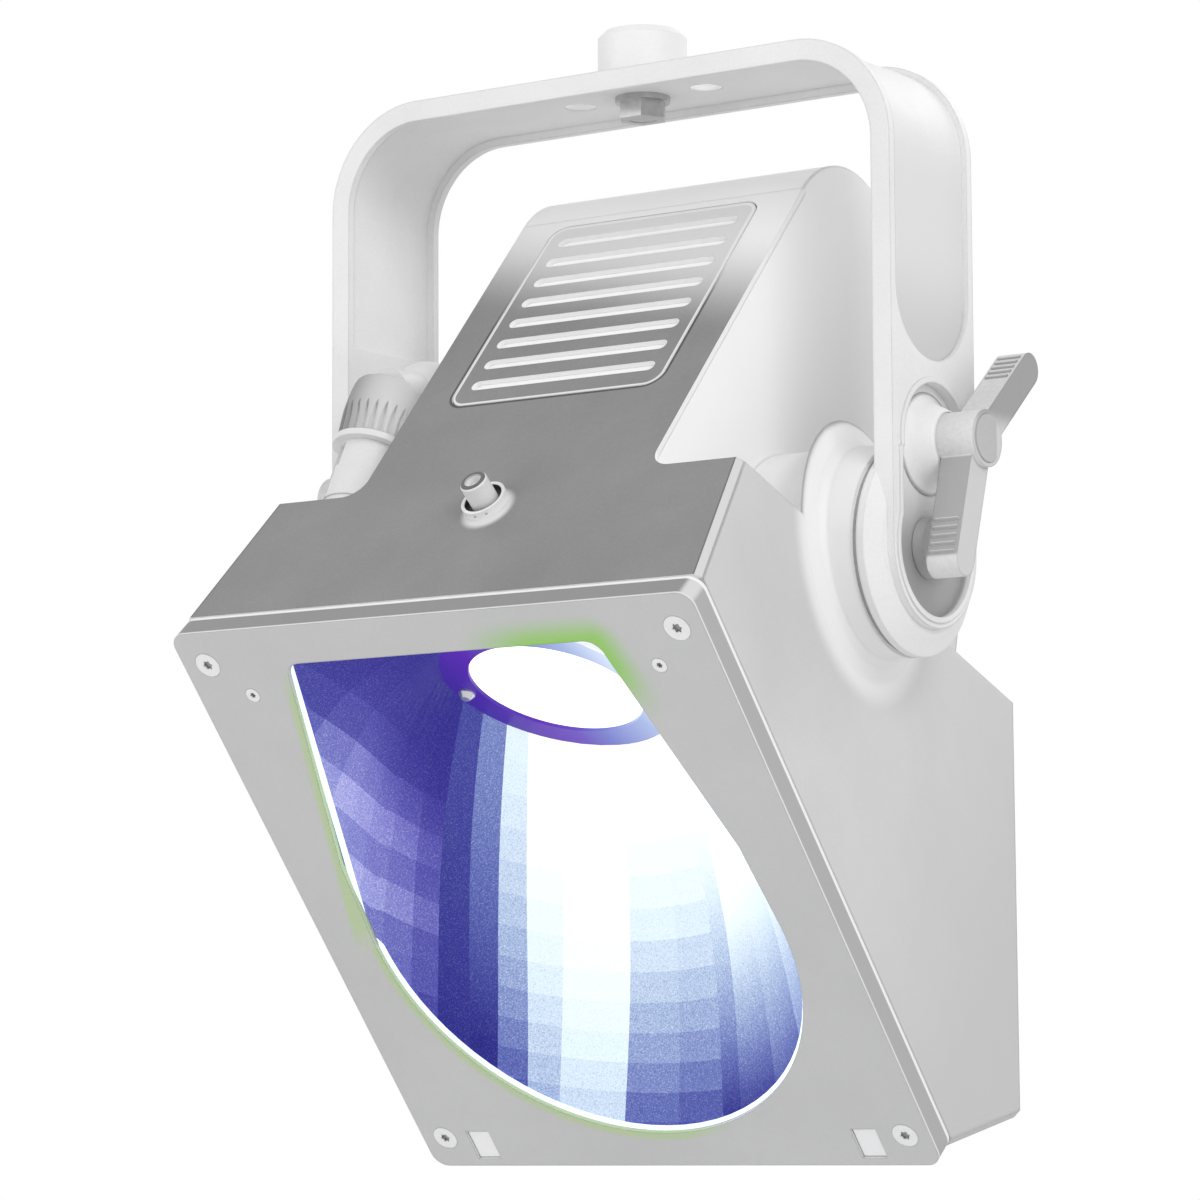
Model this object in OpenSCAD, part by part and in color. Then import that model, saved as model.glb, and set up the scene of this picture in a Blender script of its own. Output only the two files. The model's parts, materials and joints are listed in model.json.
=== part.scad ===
// Cyclorama light: a tilted flood head hanging in a cast yoke.
// World: X right, Y back, Z up, millimetres.
// The origin is the mouth of the hanging thread, at the top of the clamp foot.
// The head is drawn level in its own frame and then tilted nose down.

/* [Head pose] */
// Nose-down tilt of the head in the photo, degrees
tilt = 40.4; // [0:0.1:90]

/* [Yoke] */
// Outer face of each arm beyond the widest side of the housing
arm_out = 15.3; // [14:0.1:30]
// Depth of the arm section, outer face to inner face
arm_t = 9.1; // [6:0.1:14]
// Width of the yoke strip, front rim to rear rim
strip_w = 67; // [50:1:90]
// Height of the top of the bar above the pivot
bar_top = 214.4; // [190:0.2:240]
// Outside bend radius of the corners
bend_r = 46; // [20:1:70]
// Thickness of the web between the rims
web_t = 3; // [2:0.1:5]
// Width of each rim
rim_w = 4; // [3:0.5:8]
// Depth of the trough on the inner side of the web
trough_in = 3.6; // [1:0.1:5]
// Spacing of the two outer clamp holes in the bar
hole_pitch = 66; // [40:1:90]
// Diameter of the clamp holes
hole_d = 14; // [10:0.5:18]

/* [Mounting] */
// Thread size of the hanging bolt
bolt_d = 12; // [10:1:16]
// Size across flats of the hanging bolt head
bolt_af = 19; // [16:1:24]
// Diameter of the clamp foot on the bar
foot_d = 39; // [30:1:60]
// Height of the clamp foot above the web
foot_h = 25.5; // [24:0.5:45]
// Depth of the hanging thread in the foot
thread_h = 12; // [8:1:16]

/* [Pivots and levers] */
// Radius of the pivot bosses on the head
boss_r = 44.8; // [35:0.1:55]
// Face of the pivot boss beyond the widest side of the housing
boss_out = 1.5; // [1:0.1:4]
// Pivot bolt diameter
pivot_d = 14; // [10:0.5:18]
// Diameter of the pivot bolt cap
cap_d = 26; // [24:0.1:36]
// Height of the lever axis above the pivot
lever_z = 43.6; // [36:0.1:52]
// Diameter of the lever hub
hub_d = 24; // [18:0.5:28]
// Distance of the lever wing tips from the lever axis
wing_len = 52; // [35:1:70]
// Thickness of the friction disc
disc_t = 1.4; // [1:0.1:3]

/* [Head] */
// Edge of the bezel beyond the widest side of the housing
face_out = 0.5; // [0:0.1:2]
// Top edge of the bezel above the pivot axis
face_top = 81; // [60:0.5:100]
// Bottom edge of the bezel below the pivot axis
face_bot = 209; // [180:0.5:240]
// Distance of the bezel face in front of the pivot
face_y = 145.5; // [120:0.5:170]
// Depth of the bezel rim
bezel_d = 11.7; // [8:0.1:16]
// Half width of the housing at the seam behind the bezel
body_hx = 129.5; // [115:0.5:135]
// Inward draft of the side walls, per millimetre of depth
draft = 0.149; // [0:0.001:0.25]
// Half width of the neck
neck_hx = 73.4; // [60:0.2:90]
// Casting wall thickness
wall = 3; // [2:0.1:5]
// Slope of the top plate towards the back, degrees
plate_a = 7.73; // [0:0.01:15]
// Thickness of the top cover plate
cover_t = 2.5; // [1.5:0.1:4]
// Radius of the rounded neck end
neck_r = 45; // [30:1:60]

/* [Vents] */
// Number of slots in the top vent
slots = 8; // [4:1:12]
// Distance between slots
slot_pitch = 13.85; // [10:0.05:18]
// Half length of a slot between its round ends
slot_hx = 44; // [30:1:50]
// Width of a slot
slot_w = 6; // [3:0.5:9]

/* [Light engine] */
// Diameter of the light window
window_d = 75; // [60:1:90]
// Window centre behind the pivot
window_y = -86.7; // [-90:0.1:-60]
// Window centre above the pivot
window_z = 2.1; // [-30:0.1:20]
// Tip of the light engine from straight ahead, degrees
engine_tip = 26; // [20:1:40]
// Width of the flat lip round the window
lip_w = 12.5; // [4:0.5:16]
// Number of facets around the reflector
facets = 36; // [24:4:48]
// Number of facet rows down the reflector
rows = 7; // [4:1:10]

/* [Hidden] */
// Named clearances.
gap = 0.3;
run_fit = 0.05;
seam = 0.8;
hx_out = body_hx + arm_out;
boss_x = body_hx + boss_out;
face_w = 2 * (body_hx + face_out);
lug_x = body_hx - 21.5;
ret_x = body_hx - 27.5;
open_r = body_hx - 26;
open_z = 18 - face_bot + open_r;
hx_in = hx_out - arm_t;
pad_deep = 4;
pad_floor = hx_out - pad_deep;
bez_back = -face_y + bezel_d;
rim_y = bez_back + seam;
$fn = 72;

// Frames

// Yoke parts are drawn with the tilt pivot at zero, then hung from the thread.
foot_z = bar_top - (arm_t - trough_in - web_t) + 0.2;
top_z = foot_z + foot_h;
module in_yoke() {
  translate([0, 0, -top_z]) children();
}

module in_head() {
  in_yoke() rotate([tilt, 0, 0]) children();
}

// Origin on the top plate at the seam, local Y runs back along the plate.
module on_plate() {
  in_head() translate([0, rim_y, face_top]) rotate([plate_a, 0, 0]) children();
}

// Local Z runs from the light window back along the light engine.
module on_engine() {
  in_head() translate([0, window_y, window_z]) rotate([engine_tip - 90, 0, 0]) children();
}

module both_sides() {
  children();
  mirror([1, 0, 0]) children();
}

module xcyl(d, x0, x1, y = 0, z = 0) {
  translate([x0, y, z]) rotate([0, 90, 0]) cylinder(d = d, h = x1 - x0);
}

module ycyl(d, y0, y1, x = 0, z = 0) {
  translate([x, y1, z]) rotate([90, 0, 0]) cylinder(d = d, h = y1 - y0);
}

// Side profile given as [y, z] points, extruded across X.
module across(hx, pts) {
  rotate([90, 0, 90]) linear_extrude(height = 2 * hx, center = true)
    polygon(pts);
}

// Rounded rectangle in X and Z, thick along Y.
module rr_y(x0, x1, z0, z1, r, y0, y1) {
  translate([x0 + r, y0, z0]) cube([x1 - x0 - 2 * r, y1 - y0, z1 - z0]);
  translate([x0, y0, z0 + r]) cube([x1 - x0, y1 - y0, z1 - z0 - 2 * r]);
  for (x = [x0 + r, x1 - r]) for (z = [z0 + r, z1 - r])
    ycyl(2 * r, y0, y1, x, z);
}

// Rounded rectangle in X and Y, thick along Z.
module rr_z(x0, x1, y0, y1, r, z0, z1) {
  translate([x0 + r, y0, z0]) cube([x1 - x0 - 2 * r, y1 - y0, z1 - z0]);
  translate([x0, y0 + r, z0]) cube([x1 - x0, y1 - y0 - 2 * r, z1 - z0]);
  for (x = [x0 + r, x1 - r]) for (y = [y0 + r, y1 - r])
    translate([x, y, z0]) cylinder(r = r, h = z1 - z0);
}

function unit2(v) = v / norm(v);
function right_n(v) = [v.y, -v.x];
// Inset of a clockwise outline by d.
function inset(p, d) = [for (i = [0 : len(p) - 1])
  let (a = p[(i + len(p) - 1) % len(p)], b = p[i], c = p[(i + 1) % len(p)],
    m = right_n(unit2(b - a)), n = right_n(unit2(c - b)))
  b + (m + n) * d / (1 + m * n)];

// Yoke group

// One arm and half of the bar, as a solid strip between two offsets.
module strip(o0, o1, y0, y1) {
  // o0 and o1 are distances in from the outer surface.
  xa = hx_out - o1;
  za = bar_top - o1;
  for (s = [0, 1]) mirror([s, 0, 0]) {
    translate([xa, y0, 0]) cube([o1 - o0, y1 - y0, bar_top - bend_r]);
    translate([-0.01, y0, za])
      cube([hx_out - bend_r + 0.01, y1 - y0, o1 - o0]);
    translate([hx_out - bend_r, y0, bar_top - bend_r])
      intersection() {
        difference() {
          ycyl(2 * (bend_r - o0), 0, y1 - y0);
          ycyl(2 * (bend_r - o1), -1, y1 - y0 + 1);
        }
        translate([0, -1, 0]) cube([bend_r + 1, y1 - y0 + 2, bend_r + 1]);
      }
  }
}

pad_r = strip_w / 2;
flange_x = boss_x + disc_t + gap;
trough_z = 107.8;
// Slot-shaped outline round pivot and lever, grown by g.
module pad_shape(g, x0, x1) {
  xcyl(57.6 + 2 * g, x0, x1);
  xcyl(50.6 + 2 * g, x0, x1, 0, lever_z);
  translate([x0, -26.4 - g, 10]) cube([x1 - x0, 52.8 + 2 * g, lever_z - 14]);
}

module brake_shape(g, x0, x1) {
  xcyl(40 + 2 * g, x0, x1);
  xcyl(20 + 2 * g, x0, x1, 0, lever_z);
  translate([x0, -10 - g, 0]) cube([x1 - x0, 20 + 2 * g, lever_z]);
}

module yoke() {
  web0 = arm_t - trough_in - web_t;
  color([0.93, 0.93, 0.92]) in_yoke() difference() {
    union() {
      strip(0, arm_t, -pad_r, -pad_r + rim_w);
      strip(0, arm_t, pad_r - rim_w, pad_r);
      strip(web0, web0 + web_t, -pad_r, pad_r);
      both_sides() {
        // Thick lower end that carries the pivot and the lever.
        xcyl(2 * pad_r, hx_in, hx_out);
        translate([hx_in, -pad_r, 0]) cube([arm_t, strip_w, trough_z]);
        // Round flange that bears on the friction disc.
        xcyl(2 * boss_r, flange_x + 1, hx_in + 1);
        translate([flange_x, 0, 0]) rotate([0, 90, 0])
          cylinder(r1 = boss_r - 1, r2 = boss_r, h = 1);
        translate([hx_in + 1, 0, 0]) rotate([0, 90, 0])
          cylinder(r1 = boss_r, r2 = pad_r + 3, h = 5);
        // Raised bead round the pad recess.
        pad_shape(2.6, hx_out - 1, hx_out + 0.7);
      }
      // Boss under the clamp foot.
      translate([0, 0, bar_top - arm_t + trough_in])
        cylinder(d = foot_d + 4, h = web_t + 1.2);
    }
    both_sides() {
      // Round end of the long trough on the outside of each arm.
      intersection() {
        translate([hx_out - web0, -pad_r + rim_w, trough_z - 40])
          cube([web0 + 1, strip_w - 2 * rim_w, 41]);
        xcyl(strip_w - 2 * rim_w, hx_out - web0, hx_out + 1, 0, trough_z);
      }
      // Pad recess around pivot and lever.
      pad_shape(0, pad_floor, hx_out + 2);
      // Pocket for the brake plate.
      brake_shape(gap, flange_x - 1, hx_in);
      // Seat of the pivot bush and bore of the lever stud.
      xcyl(18, hx_in - 1, hx_out + 1);
      xcyl(10 + 2 * run_fit, hx_in - 1, hx_out + 1, 0, lever_z);
    }
    for (x = [-hole_pitch / 2, 0, hole_pitch / 2])
      translate([x, 0, bar_top - 20])
        cylinder(d = x == 0 ? bolt_d + 1 : hole_d, h = 40);
    // Foot sits in a shallow round seat.
    translate([0, 0, bar_top - web0 + 0.2])
      cylinder(d = foot_d + 0.2, h = 10);
  }
}

module clamp_foot() {
  color([0.95, 0.95, 0.95]) in_yoke() difference() {
    union() {
      translate([0, 0, foot_z]) cylinder(d = foot_d, h = foot_h - 3);
      translate([0, 0, foot_z + foot_h - 3])
        cylinder(d1 = foot_d, d2 = foot_d - 6, h = 3);
    }
    // Hanging thread above, blind, with a web between it and the bar bolt.
    translate([0, 0, top_z - thread_h]) cylinder(d = bolt_d, h = thread_h + 1);
    translate([0, 0, foot_z - 1])
      cylinder(d = bolt_d + 0.4, h = bolt_in + gap + 1);
  }
}

web_bot = bar_top - arm_t + trough_in;
bolt_in = foot_h - thread_h - 4;
washer_t = 2.5;
module hanging_bolt() {
  z0 = web_bot - washer_t;
  color([0.75, 0.75, 0.74]) in_yoke() {
    difference() {
      translate([0, 0, z0 - 7.5])
        cylinder(d = bolt_af / cos(30), h = 7.5, $fn = 6);
      translate([0, 0, z0 - 8]) cylinder(d = 12, h = 0.8);
    }
    translate([0, 0, z0]) cylinder(d = bolt_d, h = foot_z + bolt_in - z0);
  }
}

module bolt_washer() {
  color([0.8, 0.8, 0.78]) in_yoke() difference() {
    translate([0, 0, web_bot - washer_t])
      cylinder(d = 24, h = washer_t);
    translate([0, 0, web_bot - 9]) cylinder(d = bolt_d + 1, h = 12);
  }
}

module pivot_bushes() {
  color([0.7, 0.6, 0.35]) in_yoke() both_sides() difference() {
    xcyl(18, hx_in, pad_floor);
    xcyl(pivot_d + 2 * run_fit, hx_in - 1, hx_out);
  }
}

brake_t = 2.5;
module brake_plates() {
  color([0.7, 0.7, 0.7]) in_yoke() both_sides() difference() {
    brake_shape(0, hx_in - brake_t, hx_in);
    xcyl(pivot_d + 1, hx_in - brake_t - 1, hx_in + 1);
  }
}

module friction_discs() {
  color([0.3, 0.3, 0.3]) in_head() both_sides() difference() {
    xcyl(2 * boss_r - 3, boss_x, boss_x + disc_t);
    xcyl(pivot_d + 0.2, boss_x - 1, boss_x + disc_t + 1);
  }
}

module pivot_bolts() {
  color([0.9, 0.9, 0.9]) in_head() both_sides() {
    xcyl(pivot_d, boss_x - 22, pad_floor + gap);
    difference() {
      xcyl(cap_d, pad_floor + gap, hx_out + 1.4);
      xcyl(cap_d - 6, hx_out + 0.8, hx_out + 2);
    }
  }
}

module pivot_nuts() {
  color([0.7, 0.7, 0.7]) in_head() both_sides() difference() {
    translate([boss_x - 18, 0, 0]) rotate([0, 90, 0])
      cylinder(d = 24, h = 9, $fn = 6);
    xcyl(pivot_d, boss_x - 20, boss_x);
  }
}

// Levers

hub_x0 = pad_floor + gap + 2.5;
hub_x1 = hx_out + 25.2;
module wing(a, x0, x1, w, len) {
  translate([0, 0, lever_z]) rotate([-a, 0, 0]) {
    translate([x0, -w / 2, 0]) cube([x1 - x0, w, len]);
    xcyl(w, x0, x1, 0, len);
    // Finger ribs near the tip.
    for (s = [-1, 1]) for (i = [0 : 4])
      xcyl(1.6, x0 + 1.5, x1 - 1.5, s * w / 2, len - 15.5 + i * 3.6);
  }
}

// Cap seat with one flat side.
module cap_seat(x0, x1) {
  intersection() {
    xcyl(hub_d - 4, x0, x1, 0, lever_z);
    translate([x0, -hub_d, lever_z - hub_d])
      cube([x1 - x0, hub_d + 6.5, 2 * hub_d]);
  }
}

module lever_core() {
  difference() {
    union() {
      xcyl(hub_d, hub_x0, hub_x1, 0, lever_z);
      translate([hub_x0, 0, lever_z]) rotate([0, 90, 0])
        cylinder(d1 = 31, d2 = hub_d, h = 9);
      wing(49, hub_x0 + 11.4, hub_x1 - 1.5, 14, wing_len);
      wing(197, hub_x0 + 9.9, hub_x1 - 2, 14, wing_len + 2);
      xcyl(10, hx_in + gap, hub_x0 + 4, 0, lever_z);
    }
    cap_seat(hub_x1 - 1.2, hub_x1 + 1);
  }
}

module lever_right() {
  color([0.92, 0.92, 0.92]) in_yoke() lever_core();
}

module lever_left() {
  color([0.92, 0.92, 0.92]) in_yoke() mirror([1, 0, 0]) lever_core();
}

module lever_cap_right() {
  color([0.8, 0.8, 0.8]) in_yoke() cap_seat(hub_x1 - 1.2, hub_x1 + 0.6);
}

module lever_cap_left() {
  color([0.8, 0.8, 0.8]) in_yoke() mirror([1, 0, 0])
    cap_seat(hub_x1 - 1.2, hub_x1 + 0.6);
}

module flange_core() {
  difference() {
    xcyl(34, pad_floor + gap, hub_x0, 0, lever_z);
    xcyl(10, pad_floor - 1, hub_x0 + 1, 0, lever_z);
  }
}

module lever_flange_right() {
  color([0.9, 0.9, 0.9]) in_yoke() flange_core();
}

module lever_flange_left() {
  color([0.9, 0.9, 0.9]) in_yoke() mirror([1, 0, 0]) flange_core();
}

// Head housing

// Wide part, side profile, clockwise from the top front.
wing_q = 70.3;
low = cover_t / cos(plate_a);
shoulder = [rim_y + wing_q * cos(plate_a), face_top + wing_q * sin(plate_a)];
rear_top = [77.7, -132.9];
rear_bot = [-69.6, -247.5];
wide_p = [[rim_y, face_top - low], [shoulder.x, shoulder.y - low],
  rear_top, rear_bot, [rim_y, -face_bot]];
arc_c = [121.5, 70.1];
arc_t = [arc_c.x - neck_r * sin(plate_a), arc_c.y + neck_r * cos(plate_a)];
neck_q = (arc_t.x - rim_y) / cos(plate_a);
arc_e = [arc_c.x + neck_r * cos(10), arc_c.y - neck_r * sin(10)];
neck_p = [[shoulder.x - 8, shoulder.y - low - 1.1],
  [arc_t.x, arc_t.y - low], [arc_c.x + 4, arc_c.y + 4], arc_e,
  [150.2, -26], [122, -84], [70, -124], [-40, -60]];
post_x = body_hx - 12;
post_xz = [[post_x, face_top - 16.4], [-post_x, face_top - 16.4],
  [post_x + 0.5, 16 - face_bot], [-post_x - 0.5, 16 - face_bot]];
draft_a = atan(draft);
cut = 2.2;

// Everything outside the drafted side walls, pulled in by d.
module outside(d) {
  both_sides() translate([body_hx - d / cos(draft_a), rim_y, 0])
    rotate([0, 0, draft_a]) translate([0, -60, -400]) cube([100, 460, 800]);
}

// Bevels along the long edges between side walls, top and bottom.
module edge_bevels() {
  both_sides() {
    on_plate() translate([body_hx, 0, 0])
      rotate([0, 0, atan(draft * cos(plate_a))]) rotate([0, 45, 0])
        translate([-10, -30, -cut]) cube([20, 105, 12]);
    in_head() translate([body_hx, rim_y, -face_bot])
      rotate([-31.3, 0, 0]) rotate([0, 0, atan(draft * cos(31.3))])
        rotate([0, 135, 0]) translate([-10, -30, -cut]) cube([20, 160, 12]);
  }
}

// Local Z points out of the shoulder along the power connector.
plug_x = 1.45 - (body_hx + neck_hx) / 2;
module on_plug() {
  in_head() translate([plug_x, -46.8, 63.8]) rotate([-62, 0, 0]) children();
}

// Local Y runs up the sloping back wall, Z points into the housing.
module on_back() {
  d = rear_top - rear_bot;
  in_head() translate([0, (rear_top.x + rear_bot.x) / 2,
      (rear_top.y + rear_bot.y) / 2])
    rotate([atan2(d.y, d.x), 0, 0]) children();
}

module opening(y0, y1, grow = 0) {
  ycyl(2 * (open_r + grow), y0, y1, 0, open_z);
  for (s = [-1, 1]) ycyl(2 * (8 + grow), y0, y1, s * (open_r - 32.4), 54);
  translate([0, y1, 0]) rotate([90, 0, 0]) linear_extrude(height = y1 - y0)
    polygon([[32.4 - open_r, 62 + grow], [open_r - 32.4, 62 + grow],
      [open_r - 24.6 + grow, 55.75], [open_r - 2.7 + grow, -42],
      [open_r - 0.1 + grow, -82], [0.1 - open_r - grow, -82],
      [2.7 - open_r - grow, -42], [24.6 - open_r - grow, 55.75]]);
}

// Rounded block a distance g inside the bezel outline.
module tongue(g, y0, y1) {
  w = face_w / 2 - g;
  rr_y(-w, w, -face_bot + g, face_top - g, max(4.2, 7 - g), y0, y1);
}

module body_shell() {
  wide_in = inset(wide_p, wall);
  neck_in = inset(neck_p, wall);
  color([0.8, 0.8, 0.8]) difference() {
    union() {
      difference() {
        in_head() {
          difference() {
            across(body_hx + 12, wide_p);
            outside(0);
          }
          across(neck_hx, neck_p);
          xcyl(2 * neck_r, -neck_hx, neck_hx, arc_c.x, arc_c.y);
          both_sides() {
            xcyl(2 * boss_r, 60, boss_x);
            translate([body_hx + draft * rim_y - 1, 0, 0])
              rotate([0, 0, draft_a]) rotate([0, 90, 0])
                cylinder(r1 = boss_r + 6, r2 = boss_r - 1, h = 9);
            translate([body_hx + draft * rim_y - 1, 0, 0])
              rotate([0, 0, draft_a]) rotate([0, 90, 0])
                cylinder(r1 = boss_r + 12, r2 = boss_r + 2, h = 4);
          }
        }
        // Step down for the cover plate.
        on_plate() translate([-body_hx - 20, -30, -cover_t])
          cube([2 * body_hx + 40, neck_q + 30, 40]);
        in_head() {
          difference() {
            across(body_hx + 12, [[rim_y - 20, face_top - low - wall],
              wide_in[1], wide_in[2], wide_in[3],
              [rim_y - 20, -face_bot + 15.6]]);
            outside(wall);
          }
          across(neck_hx - wall, neck_in);
          xcyl(2 * (neck_r - wall), -neck_hx + wall, neck_hx - wall,
            arc_c.x, arc_c.y);
          // Join neck and wide cavity.
          across(neck_hx - wall, [[-75, 60], [-40, 84], [76, -104],
            [40, -108]]);
          both_sides() xcyl(2 * (boss_r - 4), 50, boss_x - 9);
        }
      }
      in_head() {
        // Tongue behind the bezel rim.
        difference() {
          tongue(2.8, rim_y - 4, rim_y + 3);
          tongue(5.8, rim_y - 6, rim_y + 6);
        }
        // Screw posts for the bezel.
        for (p = post_xz) {
          ycyl(10, -face_y + 2.5, -112, p.x, p.y);
          translate([p.x > 0 ? p.x : p.x - 6.5, -124, p.y - 3])
            cube([6.5, 12, 6]);
        }
      }
      // Lugs on the side walls that carry the light engine.
      difference() {
        on_engine() both_sides() for (y = [-34, 34])
          translate([lug_x - 6, y - 7, 0]) cube([26, 14, 6]);
        in_head() outside(1);
      }
    }
    in_head() {
      for (p = post_xz) ycyl(4, -face_y, -122, p.x, p.y);
      both_sides() xcyl(pivot_d, boss_x - 30, boss_x + 1);
      // Exhaust opening at the back of the neck.
      translate([0, 158, 18]) rotate([-10, 0, 0]) {
        rr_y(-56, 56, -30, 30, 6, -8, 6);
        rr_y(-60, 60, -34, 34, 8, -1.2, 6);
      }
    }
    edge_bevels();
    on_engine() both_sides() for (y = [-34, 34])
      translate([lug_x, y, -1]) cylinder(d = 3, h = 10);
    // Holes for the power inlet and the data sockets.
    on_plug() translate([0, 0, -25]) cylinder(d = 26.2, h = 50);
    on_back() for (x = [-30, 30]) translate([x, 0, -9])
      cylinder(d = 24, h = 20);
    // Vent opening under the grille, and cover fixings.
    on_plate() {
      rr_z(-49, 49, 130, 241, 5, -20, 5);
      for (p = cover_xy) translate([p.x, p.y, -12]) cylinder(d = 3, h = 20);
      translate([0, 56, -20]) cylinder(d = 15, h = 30);
    }
  }
}

module front_bezel() {
  hw = face_w / 2;
  color([0.79, 0.79, 0.79]) in_head() difference() {
    rr_y(-hw, hw, -face_bot, face_top, 7, -face_y, bez_back);
    rr_y(-hw + 2.5, hw - 2.5, -face_bot + 2.5, face_top - 2.5, 4.5,
      -face_y + 2.5, bez_back + 1);
    opening(-face_y - 1, -face_y + 4);
    for (p = post_xz) {
      ycyl(5.2, -face_y - 1, -face_y + 4, p.x, p.y);
      translate([p.x, -face_y - 0.01, p.y]) rotate([-90, 0, 0])
        cylinder(d1 = 12, d2 = 8, h = 2);
    }
    for (s = [-1, 1]) {
      ycyl(3.2, -face_y - 1, -face_y + 4, s * ret_x, 48);
      translate([s * ret_x, -face_y - 0.01, 48]) rotate([-90, 0, 0])
        cylinder(d1 = 7, d2 = 4, h = 1.5);
      translate([s * (ret_x - 3) - 6, -face_y - 1, -205]) cube([12, 5, 15.6]);
    }
  }
}

module seam_gasket() {
  color([0.95, 0.95, 0.95]) in_head() difference() {
    tongue(1, rim_y - seam, rim_y);
    tongue(2.7, rim_y - 2, rim_y + 2);
  }
}

// Countersunk screw along Y with its head at the front.
module csk(x, z, hd, d, len, drive) {
  translate([x, -face_y, z]) difference() {
    union() {
      rotate([-90, 0, 0]) cylinder(d1 = hd - 0.2, d2 = d + 1, h = hd / 6);
      ycyl(d, 0, len);
    }
    ycyl(drive, -1, 1.4);
    for (a = [0, 60, 120]) rotate([0, a, 0])
      translate([-drive * 0.62, -1, -drive * 0.14])
        cube([drive * 1.24, 2.4, drive * 0.28]);
  }
}

module bezel_screws() {
  color([0.88, 0.88, 0.88]) in_head()
    for (p = post_xz) csk(p.x, p.y, 12, 4, 22, 3.6);
}

module retainer_screws() {
  color([0.88, 0.88, 0.88]) in_head()
    for (s = [-1, 1]) csk(s * ret_x, 48, 7, 3, 9, 2.2);
}

module retainer_tabs() {
  color([0.6, 0.6, 0.6]) in_head() for (s = [-1, 1]) difference() {
    translate([s * ret_x - 6, -face_y + 4, 41]) cube([12, 3, 14]);
    ycyl(3, -face_y, -face_y + 12, s * ret_x, 48);
  }
}

// Flat frame behind the bezel that the reflector is seated on.
module reflector_frame() {
  color([0.7, 0.7, 0.7]) in_head() difference() {
    rr_y(-body_hx + 18.5, body_hx - 18.5, -face_bot + 3, face_top - 9, 3, -face_y + 2.5, -face_y + 4);
    opening(-face_y, -face_y + 6, 0.8);
    for (s = [-1, 1]) {
      ycyl(3, -face_y, -face_y + 12, s * ret_x, 48);
    }
  }
}

// Reflector

open_c = -62;
bulge = 9;
skin = 1.5;
function side_r(s, c) =
  // Distance to the straight flank for direction s across and c up.
  let (x0 = open_r + 0.5, z0 = -62, x1 = open_r - 25, z1 = 62,
    nx = z1 - z0, nz = x0 - x1, k = nx * x0 + nz * z0 - nz * open_c)
  let (den = nx * abs(s) + nz * c) den > 1 ? k / den : 9999;
function circ_r(s, c) =
  let (dz = open_c - open_z, b = dz * c, q = dz * dz - pow(open_r + 0.8, 2))
  -b + sqrt(b * b - q);
function rim_r(s, c) =
  let (top = c > 0.01 ? (63 - open_c) / c : 9999,
    low = c < -0.01 ? 20 / -c : 9999)
  max(circ_r(s, c), min(top, side_r(s, c), low));
function rim_pt(a, g) =
  let (s = sin(a), c = cos(a), r = rim_r(s, c) + g)
  [r * s, -face_y + 4, open_c + r * c];
lip_r = window_d / 2 + lip_w;
lip_t = 1;
function win_pt(a, g) =
  let (r = lip_r + 0.3 + g)
  [r * sin(a),
    window_y - r * cos(a) * sin(engine_tip) - lip_t * cos(engine_tip),
    window_z + r * cos(a) * cos(engine_tip) - lip_t * sin(engine_tip)];
function ring_pt(a, t, g) =
  let (p = rim_pt(a, g), w = win_pt(a, g), m = p + (w - p) * t,
    o = bulge * sin(180 * t))
  m + [sin(a), 0.35, cos(a)] * o;
fa = 360 / facets;
refl_pts = concat(
  [for (k = [0 : rows]) for (i = [0 : facets - 1])
    ring_pt(i * fa, k / rows, 0)],
  [for (k = [0 : rows]) for (i = [0 : facets - 1])
    ring_pt(i * fa, k / rows, skin)]);
nr = facets * (rows + 1);
function vi(k, i) = k * facets + (i % facets);
refl_faces = concat(
  [for (k = [0 : rows - 1]) for (i = [0 : facets - 1])
    [vi(k, i), vi(k, i + 1), vi(k + 1, i + 1)]],
  [for (k = [0 : rows - 1]) for (i = [0 : facets - 1])
    [vi(k, i), vi(k + 1, i + 1), vi(k + 1, i)]],
  [for (k = [0 : rows - 1]) for (i = [0 : facets - 1])
    [nr + vi(k, i), nr + vi(k + 1, i + 1), nr + vi(k, i + 1)]],
  [for (k = [0 : rows - 1]) for (i = [0 : facets - 1])
    [nr + vi(k, i), nr + vi(k + 1, i), nr + vi(k + 1, i + 1)]],
  [for (i = [0 : facets - 1]) [vi(0, i), nr + vi(0, i), nr + vi(0, i + 1)]],
  [for (i = [0 : facets - 1]) [vi(0, i), nr + vi(0, i + 1), vi(0, i + 1)]],
  [for (i = [0 : facets - 1])
    [vi(rows, i), nr + vi(rows, i + 1), nr + vi(rows, i)]],
  [for (i = [0 : facets - 1])
    [vi(rows, i), vi(rows, i + 1), nr + vi(rows, i + 1)]]);

module reflector() {
  color([0.6, 0.65, 0.9]) in_head() polyhedron(refl_pts, refl_faces);
}

// Light engine, stacked along local Z from the reflector lip back

glass_t = 4;
ring_t = 6;
screw_x = -window_d / 2 - 6.1;
screw_y = -3;
screw_z = -2.2;
module led_window() {
  color([0.97, 0.98, 1]) on_engine()
    translate([0, 0, 0.5]) cylinder(d = window_d, h = glass_t);
}

module window_ring() {
  color([0.85, 0.85, 0.85]) on_engine() difference() {
    union() {
      cylinder(d = 112, h = ring_t);
      translate([0, 0, -lip_t]) cylinder(r = lip_r, h = lip_t + 1);
    }
    translate([0, 0, -lip_t - 1])
      cylinder(d = window_d, h = lip_t + 1.5 + glass_t);
    translate([0, 0, 1]) cylinder(d = window_d - 6, h = ring_t);
    translate([screw_x, screw_y, -1]) cylinder(d = 3, h = 9);
  }
}

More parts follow.
